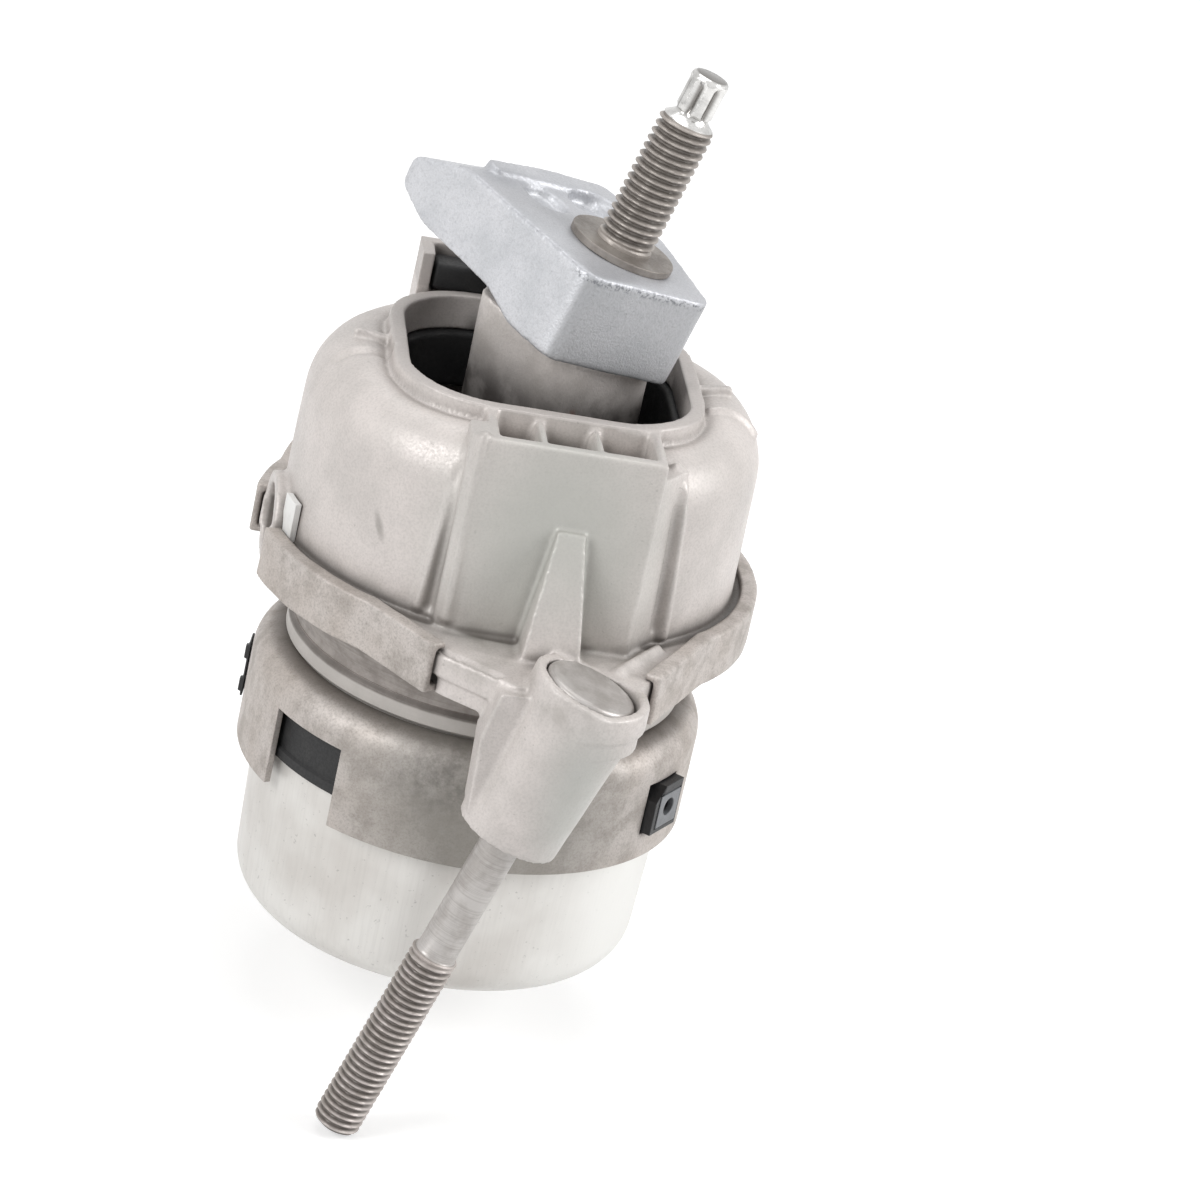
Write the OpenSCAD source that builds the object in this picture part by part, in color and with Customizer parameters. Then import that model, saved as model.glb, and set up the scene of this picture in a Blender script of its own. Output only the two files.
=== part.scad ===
// Hydraulic transmission mount: a fluid-filled rubber mount with a cast head,
// a cast arm and a stud on top, and one long through bolt beside the can.
// Millimetres. +Z runs up the can's axis, the origin is the centre of the can's floor,
// and the long bolt stands on the -Y side.

/* [Lower can] */
// Outer radius where the wall meets the rounded floor edge
can_foot_r = 42.2; // [40:0.1:43]
// Outer radius of the open rim
can_top_r = 43.8; // [42:0.1:44.5]
// Height of the can
can_h = 52; // [45:1:54]
// Wall of the can
can_wall = 2; // [1:0.1:3]
// Radius of the rounded floor edge
can_corner_r = 8; // [3:0.5:9]
// Radius of the breather hole in the floor
vent_r = 1.5; // [1:0.1:3]
// Distance of the breather hole from the axis
vent_at = 20; // [10:1:30]

/* [Collar] */
// Outer radius of the skirt
collar_r = 46.8; // [46.3:0.1:48]
// Sheet thickness of the skirt
collar_wall = 1.5; // [1:0.1:2]
// Height of the skirt's lower edge
collar_low = 33; // [30:0.5:37]
// Radius of the domed shoulder
collar_shoulder_r = 6.5; // [5:0.1:7]
// Direction of the open notch, in degrees
notch_at = -140.8; // [-150:0.1:-130]
// Angle that the notch spans
notch_span = 23.9; // [12:0.1:30]
// Height of the notch above the skirt's lower edge
notch_h = 17; // [8:0.5:18]
// Radial thickness of the rubber band behind the skirt
band_wall = 1.1; // [0.8:0.1:1.3]
// Height of the rubber band
band_h = 13.2; // [8:0.1:14]

/* [Base ring] */
// Radius of the visible band above the collar
ring_band_r = 41.2; // [40.8:0.1:43]
// Height of the visible band
ring_band_h = 4.7; // [3:0.1:6]
// Depth of the groove above the band
ring_groove = 1; // [0.4:0.1:1.6]
// Radius of the bore at the lower end
ring_bore_r = 35.5; // [33:0.1:36.5]
// Distance of the bore's upper edge from the flange's edge
ring_mouth_step = 8.4; // [7.6:0.1:10]
// Thickness of the clamped rim
ring_rim_t = 2.3; // [1.5:0.1:3]

/* [Clamped flange] */
// Radius of the round part of the flange
flange_r = 50.4; // [50:0.1:51]
// Height of the joint between base ring and upper housing
joint_z = 78.8; // [78:0.1:82]
// Thickness of the cast flange
flange_t = 5.2; // [4:0.1:7]
// Depth of the left flat in the round flange
flat_left_cut = 1.8; // [0.4:0.1:2.2]
// Depth of the right flat in the round flange
flat_right_cut = 1.2; // [0.4:0.1:2.2]
// Direction of the left flat, in degrees
flat_left_at = -141.5; // [-145:0.5:-138]
// Direction of the right flat, in degrees
flat_right_at = -29; // [-32:0.5:-26]
// Sheet thickness of the clamping channel
channel_wall = 1.5; // [1:0.1:1.8]
// How far the lips of the channel reach over the flange
channel_lip = 1.7; // [1:0.1:2]
// Straight length of the channel towards the front boss, left side
channel_left = 33.5; // [20:0.5:36]
// Straight length of the channel towards the front boss, right side
channel_right = 37; // [20:0.5:39]

/* [Upper housing] */
// Distance of the wall's foot from the flange's edge
wall_step = 3.4; // [3.1:0.1:3.7]
// How much the wall draws in towards its top
wall_draw = 0.4; // [0:0.1:2]
// Wall thickness of the casting
wall_t = 4; // [3:0.1:5]
// Height of the domed top
dome_top = 124.4; // [121:0.1:128]
// Radius of the domed shoulder
dome_r = 14; // [8:0.5:15]
// Height of the raised lip above the dome
lip_h = 1.2; // [0.6:0.1:2]
// Width of the raised lip
lip_w = 3; // [2:0.1:4]
// Depth of the wall round the opening
lip_depth = 7.5; // [5:0.1:9]
// Width of the opening, across X
opening_w = 57; // [54:0.5:60]
// Depth of the opening, across Y
opening_d = 56; // [54:0.5:58]
// Corner radius of the opening
opening_r = 17; // [10:0.5:22]
// Outer wall of the cast stop tower, across
tower_w = 20; // [16:1:26]
// Sideways place of the stop tower's middle
tower_x = -15; // [-18:0.5:-10]
// Depth of the stop tower
tower_d = 10; // [8:0.5:12]
// Height of the stop tower above the lip
tower_h = 7; // [5:0.5:8.5]
// Wall of the stop tower
tower_wall = 2.6; // [2:0.1:3]

/* [Front pad] */
// Sideways place of the pad's middle
pad_x = 3.4; // [0:0.1:5]
// Width of the pad
pad_w = 35; // [30:0.5:40]
// Distance of the pad's face behind the wall's foot
pad_back = 0.1; // [-1:0.1:1]
// Width of the pocket in the pad's top
pocket_w = 30; // [24:0.5:32]
// Depth of the pocket
pocket_h = 6; // [4:0.5:7]
// Wall in front of the pocket
pocket_wall = 3; // [2:0.1:4]
// Thickness of the pocket's two ribs
pocket_rib = 2.6; // [1.5:0.1:4]
// Width of the small ribs beside the pad
side_rib_w = 2.4; // [1.5:0.1:3]
// Width of the wedge at its top
wedge_top_w = 5.6; // [4:0.1:8]
// Width of the wedge at its foot
wedge_foot_w = 12; // [9:0.5:16]
// Height of the wedge above the flange
wedge_h = 25; // [15:1:30]
// How far the wedge stands out at its foot
wedge_out = 9; // [6:0.5:12]

/* [Side boss] */
// Direction of the side boss, in degrees
ear_at = -177; // [-179:0.5:-172]
// Height of the side boss's axis
ear_z = 83.2; // [82:0.1:85]
// Outer radius of the side boss
ear_r = 9.6; // [8:0.1:10]
// Radius of the hole in the side boss
ear_hole_r = 6.8; // [4:0.1:7]
// How far the side boss stands out of the wall's foot
ear_out = 2.4; // [1.5:0.1:6]

/* [Bolt bosses] */
// Sideways place of the front boss's top
boss_x = 12; // [8:0.1:16]
// Distance of the front boss from the axis, along Y
boss_y = 65.5; // [63:0.1:68]
// Direction of the rear boss, in degrees
rear_at = 115; // [108:0.5:122]
// Distance of the rear boss from the axis
rear_reach = 62.6; // [61.5:0.1:66]
// Radius of the rear boss at its top
rear_boss_r = 10; // [9:0.1:10.5]
// Lean of the bolts towards +X, in degrees
bolt_lean = 17; // [0:0.5:20]
// Radius of the front boss at its top
boss_r = 12; // [11:0.1:13]
// Radius of the front boss at its foot
boss_foot_r = 10.4; // [9:0.1:11]
// Length of the front boss
boss_len = 33.5; // [30:0.5:42]
// Length of the rear boss
rear_boss_len = 18; // [12:0.5:24]
// Radius of the rear bolt hole
rear_hole_r = 5.5; // [5:0.1:6]
// Depth of the seat for the bolt's head
seat_depth = 2.6; // [1.5:0.1:3]
// Thickness of the web beside the front boss
web_t = 9; // [5:0.5:12]

/* [Long bolt] */
// Radius of the thread's crests
bolt_r = 4.87; // [4.5:0.01:5]
// Radius of the plain shank
shank_r = 4.1; // [3.9:0.05:4.5]
// Radius of the round head
bolt_head_r = 9.4; // [8.5:0.1:9.6]
// Thickness of the head
bolt_head_t = 3.2; // [2:0.1:4]
// Length below the head
bolt_len = 105; // [80:1:110]
// Length of the thread
bolt_thread_len = 43; // [30:1:50]
// Wall of the steel sleeve round the shank
sleeve_wall = 1.7; // [1:0.1:2.5]
// Bore radius of the steel sleeve
sleeve_bore_r = 5.25; // [5.1:0.01:5.6]

/* [Core and arm] */
// Sideways place of the core
core_x = 2.6; // [0:0.1:3]
// Width of the core's rounded square section
core_w = 29; // [26:0.5:31]
// Corner radius of the core's section
core_r = 6; // [3:0.5:8]
// Radius of the core's foot at its top
foot_r = 20; // [19.5:0.5:22]
// Radius of the core's foot at its lower end
foot_low_r = 12; // [8:0.5:14]
// Height of the lower end of the foot
foot_low_z = 72; // [69:0.5:76]
// Height of the foot's upper end
foot_top_z = 94; // [91:0.5:98]
// Thickness of the arm
arm_t = 18.5; // [15:0.5:22]
// Turn of the arm about the stud, in degrees
arm_turn = 126.5; // [120:0.5:132]
// Length of the arm's flat top
arm_len = 42; // [36:0.5:44]
// Length of the sloping nose
nose_len = 15; // [12:0.5:18]
// Width of the nose
nose_w = 21; // [18:0.5:26]
// Drop of the nose's top at its end
nose_drop = 6; // [4:0.5:10]
// Distance of the arm's long side from the stud
arm_side = 21; // [18:0.5:23]
// Skew of the arm's front face
arm_skew = 5; // [3:0.5:8]
// Height of the raised rim on the arm
ridge_h = 1.4; // [1:0.1:3]
// Distance of the arm's front corner ahead of the stud
arm_front = 14; // [12.5:0.1:15]

/* [Stud] */
// Sideways place of the stud's axis at the arm's top
stud_x = 9.8; // [8:0.1:11]
// Height of the arm's top at the stud's axis
stud_z = 150.7; // [149:0.1:154]
// Lean of the stud towards +X, in degrees
stud_lean = 15; // [0:0.5:17]
// Radius of the thread's crests
stud_r = 5.85; // [5:0.01:6]
// Length of the thread above the washer
stud_thread_len = 28; // [20:0.5:34]
// Radius of the plain shank inside washer, arm and core
stud_shank_r = 5.5; // [4.5:0.05:5.7]
// Radius of the six-lobed drive end
drive_r = 3.9; // [3:0.1:4.5]
// Length of the drive end
drive_len = 8.6; // [6:0.1:12]
// Radius of the washer
washer_r = 11.1; // [10:0.1:12.5]
// Thickness of the washer
washer_t = 1.6; // [1:0.1:2.5]
// Depth of the stud in the core
stud_depth = 20; // [14:0.5:24]

/* [Rubber and fluid parts] */
// Thickness of the two track plates
plate_t = 4.6; // [3.5:0.1:5]
// Radius of the decoupler disc
decoupler_r = 22; // [16:0.5:26]
// Thickness of the decoupler disc
decoupler_t = 2; // [1.5:0.1:3]
// Wall of the rolling diaphragm
diaphragm_t = 1.6; // [1:0.1:2.5]
// Height of the snubber ring inside the opening
snubber_h = 12; // [8:0.5:14]
// How far the snubber ring stands inside the opening
snubber_in = 1.2; // [0.5:0.1:2]
// Running gap between pieces that touch on curved faces
gap = 0.3; // [0.2:0.05:0.4]

/* [Port, clip and tab] */
// Direction of the port, in degrees
port_at = -36; // [-42:0.5:-30]
// Width of the port's block
port_w = 10; // [8:0.5:13]
// Height of the port's block
port_h = 10.5; // [9:0.5:12]
// Distance of the port's face from the axis
port_face_at = 48.6; // [48:0.1:50]
// Direction of the clip on the collar
clip_at = 171; // [160:1:178]
// Width of the clip
clip_w = 5; // [4:0.5:10]

/* [Hidden] */
$fn = 96;
eps = 0.01;
big = 200;
arc_steps = 12;

collar_shoulder_z = can_h;
collar_top = collar_shoulder_z + collar_shoulder_r;
collar_hole_r = collar_r - collar_shoulder_r;
ring_low = can_h + gap;
ring_flange_r = can_top_r - 0.4;
ring_flange_t = 3.3;
ring_neck_r = collar_hole_r - gap;
ring_band_low = collar_top + gap;
ring_band_top = ring_band_low + ring_band_h;
ring_rim_low = joint_z - ring_rim_t;
ring_cone_r = flange_r - 4.4;
ring_mouth_r = flange_r - ring_mouth_step;
ring_mouth_h = 11;
wall_foot_r = flange_r - wall_step;
wall_top_r = wall_foot_r - wall_draw;
flat_left = flange_r - flat_left_cut;
flat_right = flange_r - flat_right_cut;
pad_y = wall_foot_r - pad_back;
ear_face = wall_foot_r + ear_out;
ear_spread = asin((ear_r + 0.6) / flange_r);
flange_top = joint_z + flange_t;
channel_low = ring_rim_low - channel_wall;
channel_gap = 0.3;
wall_inner_foot = wall_foot_r - wall_t;
dome_centre_r = wall_top_r - dome_r;
dome_centre_z = dome_top - dome_r;
lip_top = dome_top + lip_h;
lip_low = lip_top - lip_depth;
bolt_tip_chamfer = 1.2;
foot_gap = gap;
plates_top = can_h - 0.4;
upper_plate_low = plates_top - plate_t;
lower_plate_low = upper_plate_low - plate_t;
can_inner_top_r = can_top_r - can_wall;
plate_r = can_inner_top_r - 0.7;
rim_t = 3;
rim_low = lower_plate_low - rim_t;
clamp_ring_h = 3;
tower_y = opening_d / 2 + lip_w - 0.5;
pad_top = lip_top - 0.3;
stud_dir = [sin(stud_lean), 0, cos(stud_lean)];
arm_top_point = [stud_x, 0, stud_z];
fill_at = 60;
fill_r = 2.2;

// Points of an arc in the plane, from one angle to the other
function arc(centre, r, from, to, steps = arc_steps) =
    [for (i = [0:steps]) let (a = from + (to - from) * i / steps)
        centre + r * [cos(a), sin(a)]];

// Radius of the can's outer wall at a height
function can_r(z) = can_foot_r
    + (can_top_r - can_foot_r) * (z - can_corner_r) / (can_h - can_corner_r);

// Unit vector and its left-hand neighbour
function unit(v) = v / norm(v);

// Arc that rounds one corner of an outline
function corner(before, at, after, r, steps = 6) =
    let (a = unit(before - at), b = unit(after - at),
        half = acos(a * b) / 2,
        centre = at + unit(a + b) * r / sin(half),
        first = at + a * r / tan(half) - centre,
        turn = (a[0] * b[1] - a[1] * b[0]) > 0 ? -1 : 1,
        sweep = 180 - 2 * half)
    [for (i = [0:steps]) let (t = turn * sweep * i / steps)
        centre + [first[0] * cos(t) - first[1] * sin(t),
            first[0] * sin(t) + first[1] * cos(t)]];

// Outline with each corner rounded to its own radius
function rounded(points, radii) =
    let (n = len(points))
    [for (i = [0:n - 1])
        each (radii[i] > 0
            ? corner(points[(i + n - 1) % n], points[i], points[(i + 1) % n], radii[i])
            : [points[i]])];

// Rounded rectangle made of squares and true circles
module rounded_rect(w, d, r) {
    square([w - 2 * r, d], center = true);
    square([w, d - 2 * r], center = true);
    for (x = [-1, 1], y = [-1, 1])
        translate([x * (w / 2 - r), y * (d / 2 - r)])
            circle(r);
}

// Outline of the opening, grown outwards
module opening_outline(grow) {
    rounded_rect(opening_w + 2 * grow, opening_d + 2 * grow, opening_r + grow);
}

// Flat strip that joins the round flange to a boss, a little inside the tangents
module boss_bridge(at, reach, r_in, r_out) {
    inset = 1.2;
    flat_in = r_in - inset;
    flat_out = r_out - inset / 2;
    spread = acos((flat_in - flat_out) / reach);
    centre = reach * [cos(at), sin(at)];
    polygon([
        flat_in * [cos(at - spread), sin(at - spread)],
        centre + flat_out * [cos(at - spread), sin(at - spread)],
        centre + flat_out * [cos(at + spread), sin(at + spread)],
        flat_in * [cos(at + spread), sin(at + spread)],
        [0, 0]]);
    translate(centre)
        circle(r_out);
}

// Direction along a flat, towards the front boss
function along_left() = [-sin(flat_left_at), cos(flat_left_at)];
function along_right() = [sin(flat_right_at), -cos(flat_right_at)];

// Foot of a flat, where it touches the round flange
function flat_foot(at, d) = d * [cos(at), sin(at)];

// Outline of the clamped flange with its two bosses
module flange_outline(grow) {
    left = flat_foot(flat_left_at, flat_left + grow);
    right = flat_foot(flat_right_at, flat_right + grow);
    circle(flange_r + grow);
    polygon([
        [0, 0],
        left,
        left + (channel_left + 1.5) * along_left(),
        [boss_x - boss_r - 2.4 - grow, -boss_y - 2.4 - grow],
        [boss_x, -boss_y],
        right + (channel_right + 6) * along_right(),
        right]);
    translate([boss_x, -boss_y])
        circle(boss_r + grow);
    boss_bridge(rear_at, rear_reach, flange_r + grow, rear_boss_r + grow);
}

// Frame of the front bolt, with the seat's plane at its origin
module at_front_boss() {
    translate([boss_x, -boss_y, flange_top])
        rotate([0, bolt_lean, 0])
            children();
}

// Frame of the rear bolt hole
module at_rear_boss() {
    translate([rear_reach * cos(rear_at), rear_reach * sin(rear_at), flange_top])
        rotate([0, bolt_lean, 0])
            children();
}

// Frame of the stud, with the arm's top plane at its origin
module at_stud() {
    translate(arm_top_point)
        rotate([0, stud_lean, 0])
            children();
}

// Frame of the arm: x along the arm, y across it from its long side
module at_arm() {
    at_stud()
        rotate([0, 0, arm_turn])
            translate([-arm_front, arm_side, 0])
                mirror([0, 1, 0])
                    children();
}

// Space outside a radius, within an angle, for cutting sheet and skirt
module sector(from, to, reach) {
    polygon([[0, 0], for (i = [0:8]) let (a = from + (to - from) * i / 8)
        reach * [cos(a), sin(a)]]);
}

// Drawn aluminium cup that closes the fluid chamber
module lower_can() {
    corner_centre = [can_foot_r - can_corner_r, can_corner_r];
    color([0.88, 0.88, 0.87])
    difference() {
        rotate_extrude()
            polygon(concat(
                [[0, 0]],
                arc(corner_centre, can_corner_r, -90, 0),
                [[can_top_r, can_h], [can_top_r - can_wall, can_h]],
                arc(corner_centre, can_corner_r - can_wall, 0, -90),
                [[0, can_wall]]));
        translate([vent_at, 0, -eps])
            cylinder(r = vent_r, h = can_wall + 2 * eps);
    }
}

// Pressed steel skirt with its domed shoulder, notch and port cut-out
module collar() {
    centre = [collar_hole_r, collar_shoulder_z];
    color([0.69, 0.66, 0.64])
    difference() {
        rotate_extrude()
            polygon(concat(
                [[collar_r, collar_low]],
                arc(centre, collar_shoulder_r, 0, 90),
                arc(centre, collar_shoulder_r - collar_wall, 90, 0),
                [[collar_r - collar_wall, collar_low]]));
        translate([0, 0, collar_low - eps])
            linear_extrude(notch_h + eps)
                sector(notch_at - notch_span / 2, notch_at + notch_span / 2, big / 2);
        rotate([0, 0, port_at])
            translate([collar_r - 8, -port_w / 2 - gap, port_low - gap])
                cube([20, port_w + 2 * gap, port_h + 2 * gap]);
    }
}

band_r = collar_r - collar_wall - gap;
band_top = collar_shoulder_z;

// Rubber band between can and skirt, with a bead along its lower edge
module band_seal() {
    low = band_top - band_h;
    bead = 0.5;
    bead_h = 2;
    color([0.08, 0.08, 0.09])
    difference() {
        rotate_extrude()
            polygon([
                [can_r(low) + gap, low],
                [can_r(low) + gap + band_wall + bead - 0.4, low],
                [can_r(low) + gap + band_wall + bead - 0.4, low + bead_h],
                [can_r(low) + gap + band_wall - 0.5, low + bead_h + bead],
                [can_r(low) + gap + band_wall - 0.5, band_top],
                [can_r(band_top) + gap, band_top]]);
        rotate([0, 0, port_at])
            translate([collar_r - 8, -port_w / 2 - gap, low - 1])
                cube([20, port_w + 2 * gap, band_h + 2]);
    }
}

// Cast ring that carries the rubber spring and the clamped rim
module base_ring() {
    groove_r = ring_band_r - ring_groove;
    groove_top = ring_band_top + 1.6;
    color([0.73, 0.70, 0.68])
    difference() {
        rotate_extrude()
            polygon([
                [ring_bore_r, ring_low],
                [ring_flange_r, ring_low],
                [ring_flange_r, ring_low + ring_flange_t],
                [ring_neck_r, ring_low + ring_flange_t],
                [ring_neck_r, ring_band_low],
                [ring_band_r - 0.6, ring_band_low],
                [ring_band_r, ring_band_low + 0.6],
                [ring_band_r, ring_band_top - 0.8],
                [ring_band_r - 0.8, ring_band_top],
                [groove_r, ring_band_top],
                [groove_r, groove_top],
                [ring_cone_r, ring_rim_low - 1.2],
                [ring_cone_r, ring_rim_low],
                [flange_r, ring_rim_low],
                [flange_r, joint_z],
                [ring_mouth_r, joint_z],
                [ring_bore_r, joint_z - ring_mouth_h]]);
        rotate([0, 0, ear_at])
            translate([ring_cone_r + 0.6, -ear_r - gap, ring_rim_low - 8])
                cube([20, 2 * (ear_r + gap), 20]);
        rotate([0, 0, ear_at])
            translate([wall_inner_foot + 1, 0, ear_z])
                rotate([0, 90, 0])
                    cylinder(r = ear_hole_r + gap, h = 20);
        rotate([0, 0, fill_at])
            translate([ring_bore_r - 1, 0, fill_z])
                rotate([0, 90, 0])
                    cylinder(r = fill_r, h = 12);
    }
}

fill_z = ring_band_top + 3.6;

// Radius of the base ring's bore at a height
function ring_inner_r(z) = let (low = joint_z - ring_mouth_h)
    ring_bore_r + (ring_mouth_r - ring_bore_r) * max(0, z - low) / ring_mouth_h;

// Steel ball pressed into the filling hole
module fill_ball() {
    color([0.6, 0.6, 0.62])
    rotate([0, 0, fill_at])
        translate([ring_inner_r(fill_z + fill_r) + fill_r + gap, 0, fill_z])
            sphere(fill_r - 0.02);
}

// Rubber cone bonded between the core's foot and the base ring
module main_spring() {
    inner_low = foot_low_r + foot_gap;
    color([0.06, 0.06, 0.065])
    difference() {
        rotate_extrude()
            polygon(concat(
                [[ring_bore_r - gap, ring_low + 1]],
                [[ring_bore_r - gap, joint_z - ring_mouth_h]],
                [[ring_mouth_r - gap, joint_z - 0.4]],
                [[ring_mouth_r - 3, joint_z + 1]],
                arc([ring_mouth_r - 3, joint_z + 24], 23, 270, 206, 8),
                [[inner_low, foot_low_z + 2]],
                arc([ring_bore_r - 6, ring_low + 1], 15, 138, 180, 6),
                [[ring_bore_r - 8, ring_low + 1]]));
        core_foot(foot_gap);
    }
}

// Foot of the core, grown by a gap where rubber surrounds it
module core_foot(grow) {
    slope = (foot_r - foot_low_r) / (foot_top_z - foot_low_z);
    above = grow > 0 ? 12 : 0;
    translate([core_x, 0, foot_low_z - grow])
        cylinder(r1 = foot_low_r + grow, r2 = foot_r + grow + slope * (above + grow),
            h = foot_top_z - foot_low_z + grow + above);
}

// Cast core with a rounded square column and a conical foot
module core_column() {
    color([0.62, 0.60, 0.58])
    difference() {
        union() {
            core_foot(0);
            translate([core_x, 0, foot_top_z - 1])
                rotate([0, 0, arm_turn])
                    linear_extrude(stud_z - foot_top_z)
                        rounded_rect(core_w, core_w, core_r);
        }
        at_stud()
            translate([-big / 2, -big / 2, -arm_t - 1])
                cube([big, big, big]);
        at_stud()
            translate([0, 0, -arm_t - stud_depth - 1])
                cylinder(r = stud_shank_r + 0.05, h = stud_depth + 2);
    }
}

// Solid of revolution of the upper housing, outside and inside
module housing_dome(inset) {
    centre = [dome_centre_r, dome_centre_z];
    polygon(concat(
        [[0, joint_z], [wall_foot_r - inset, joint_z]],
        [[wall_foot_r - inset, flange_top]],
        arc(centre, dome_r - inset, 0, 90),
        [[0, dome_top - inset]]));
}

// Flat pad on the front with its top pocket, side ribs and wedge
module pad_body() {
    front = [pad_x, -pad_y / 2 - 12];
    translate([pad_x - pad_w / 2, -pad_y, flange_top - eps])
        cube([pad_w, 18, pad_top - flange_top]);
    for (side = [-1, 1])
        translate([pad_x + side * (pad_w / 2 + 1.2 + side_rib_w / 2) - side_rib_w / 2,
            -pad_y + 1.3, flange_top - eps])
            cube([side_rib_w, 12, pad_top - flange_top - 8]);
    wedge();
}

// Tapered wedge that props the front boss
module wedge() {
    wedge_x = pad_x + 1.4;
    intersection() {
        translate([0, -pad_y - wedge_out - 1, flange_top - eps])
            rotate([90, 0, 180])
                mirror([1, 0, 0])
                    linear_extrude(big / 4)
                        polygon([
                            [wedge_x - wedge_foot_w / 2, 0],
                            [wedge_x + wedge_foot_w / 2, 0],
                            [wedge_x + wedge_top_w / 2, wedge_h],
                            [wedge_x - wedge_top_w / 2, wedge_h]]);
        translate([wedge_x - wedge_foot_w, 0, 0])
            rotate([90, 0, 90])
                linear_extrude(2 * wedge_foot_w)
                    polygon([
                        [-pad_y + 2, flange_top - 1],
                        [-pad_y - wedge_out, flange_top - 1],
                        [-pad_y - wedge_out, flange_top + 1.5],
                        [-pad_y - 1.6, flange_top + wedge_h],
                        [-pad_y + 2, flange_top + wedge_h]]);
    }
}

// Pocket in the pad's top, less its two ribs
module pocket_floor() {
    floor_t = 1.8;
    translate([pad_x - pocket_w / 2 - 1, -pad_y + pocket_wall - 1, pad_top - pocket_h - floor_t])
        cube([pocket_w + 2, pad_y - opening_d / 2 - lip_w - pocket_wall + 2, floor_t + eps]);
}

module pad_pocket() {
    rib_shift = 5.6;
    depth_y = pad_y - opening_d / 2 - lip_w - pocket_wall;
    difference() {
        translate([pad_x - pocket_w / 2, -pad_y + pocket_wall, pad_top - pocket_h])
            cube([pocket_w, depth_y, pocket_h + 5]);
        for (x = [-rib_shift, rib_shift])
            translate([pad_x - 1.2 + x - pocket_rib / 2, -pad_y, 0])
                cube([pocket_rib, 30, pad_top - 0.8]);
    }
}

// Upstand behind the opening that holds the arm's stop buffer
module stop_tower() {
    translate([tower_x - tower_w / 2, tower_y, dome_top - 6])
        difference() {
            cube([tower_w, tower_d, 6 + lip_h + tower_h]);
            translate([tower_wall, -eps, 6 + lip_h - 1])
                cube([tower_w - 2 * tower_wall, tower_d - tower_wall, tower_h + 2]);
        }
}

// Rubber block in the stop tower
module tower_buffer() {
    color([0.07, 0.07, 0.075])
    translate([tower_x - tower_w / 2 + tower_wall + gap, tower_y + 0.6, lip_top - 1])
        cube([tower_w - 2 * tower_wall - 2 * gap,
            tower_d - tower_wall - gap - 0.6, tower_h - 1.2]);
}

// Boss in the housing's left side, with its hole
module ear_body() {
    rotate([0, 0, ear_at])
        translate([ring_cone_r + 0.9, 0, ear_z])
            rotate([0, 90, 0])
                cylinder(r = ear_r, h = ear_face - ring_cone_r - 0.9);
}

// Room under the flange that the channel's lower lip needs
module channel_room() {
    difference() {
        flange_outline(5);
        flange_outline(-channel_lip - 0.4);
        front_gap();
        rear_gap();
    }
}

// Web that ties the leaning boss to the flange
module boss_web() {
    drop = boss_len * cos(bolt_lean);
    foot_x = boss_x - boss_len * sin(bolt_lean);
    translate([0, -boss_y + web_t / 2, 0])
        rotate([90, 0, 0])
            linear_extrude(web_t)
                polygon([
                    [boss_x - 2, flange_top - 1],
                    [-5.4, flange_top - 1],
                    [-7.6, flange_top - 11],
                    [-7, flange_top - 27],
                    [foot_x - 3, flange_top - drop + 1],
                    [foot_x + 4, flange_top - drop + 1]]);
}

// Radial rib that lies on the dome's shoulder
module dome_rib(at) {
    rotate([0, 0, at])
        translate([opening_w / 2 + lip_w - 0.5, -1.3, dome_centre_z + 6])
            cube([8, 2.6, dome_r - 6 + 0.5]);
}

// Everything of the upper housing but the deep lip, still without its holes
module housing_shell() {
    difference() {
        union() {
            rotate_extrude()
                housing_dome(0);
            translate([0, 0, joint_z])
                linear_extrude(flange_t)
                    flange_outline(0);
            translate([0, 0, joint_z - 4])
                linear_extrude(4.5)
                    difference() {
                        flange_outline(-1);
                        circle(flange_r + 0.4);
                        channel_room();
                    }
            pad_body();
            stop_tower();
            ear_body();
            for (at = [4, 176])
                dome_rib(at);
            boss_web();
            at_front_boss()
                translate([0, 0, -boss_len])
                    cylinder(r1 = boss_foot_r, r2 = boss_r, h = boss_len + 1);
            at_rear_boss()
                translate([0, 0, -rear_boss_len])
                    cylinder(r = rear_boss_r, h = rear_boss_len + 1);
        }
        translate([0, 0, -eps])
            rotate_extrude()
                housing_dome(wall_t);
        translate([0, 0, joint_z - big / 2])
            cylinder(r = ring_cone_r + 0.6, h = big / 2);
    }
}

// Cast aluminium upper housing in one piece with its flange and bosses
module upper_housing() {
    color([0.79, 0.78, 0.77])
    difference() {
        union() {
            housing_shell();
            translate([0, 0, lip_low])
                linear_extrude(lip_depth)
                    opening_outline(lip_w);
            pocket_floor();
        }
        translate([0, 0, lip_low - big / 4])
            linear_extrude(big)
                opening_outline(0);
        translate([0, 0, lip_low - snubber_h - gap])
            linear_extrude(snubber_h + gap)
                opening_outline(lip_w + gap);
        pad_pocket();
        rotate([0, 0, ear_at])
            translate([wall_inner_foot + 1.2, 0, ear_z])
                rotate([0, 90, 0])
                    cylinder(r = ear_hole_r, h = 20);
        at_front_boss() {
            translate([0, 0, 1 - seat_depth])
                cylinder(r = bolt_head_r + gap, h = 10);
            translate([0, 0, -boss_len - 1])
                cylinder(r = sleeve_bore_r + sleeve_wall, h = boss_len + 2);
        }
        at_rear_boss()
            translate([0, 0, -rear_boss_len - 1])
                cylinder(r = rear_hole_r, h = rear_boss_len + 12);
    }
}

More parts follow.
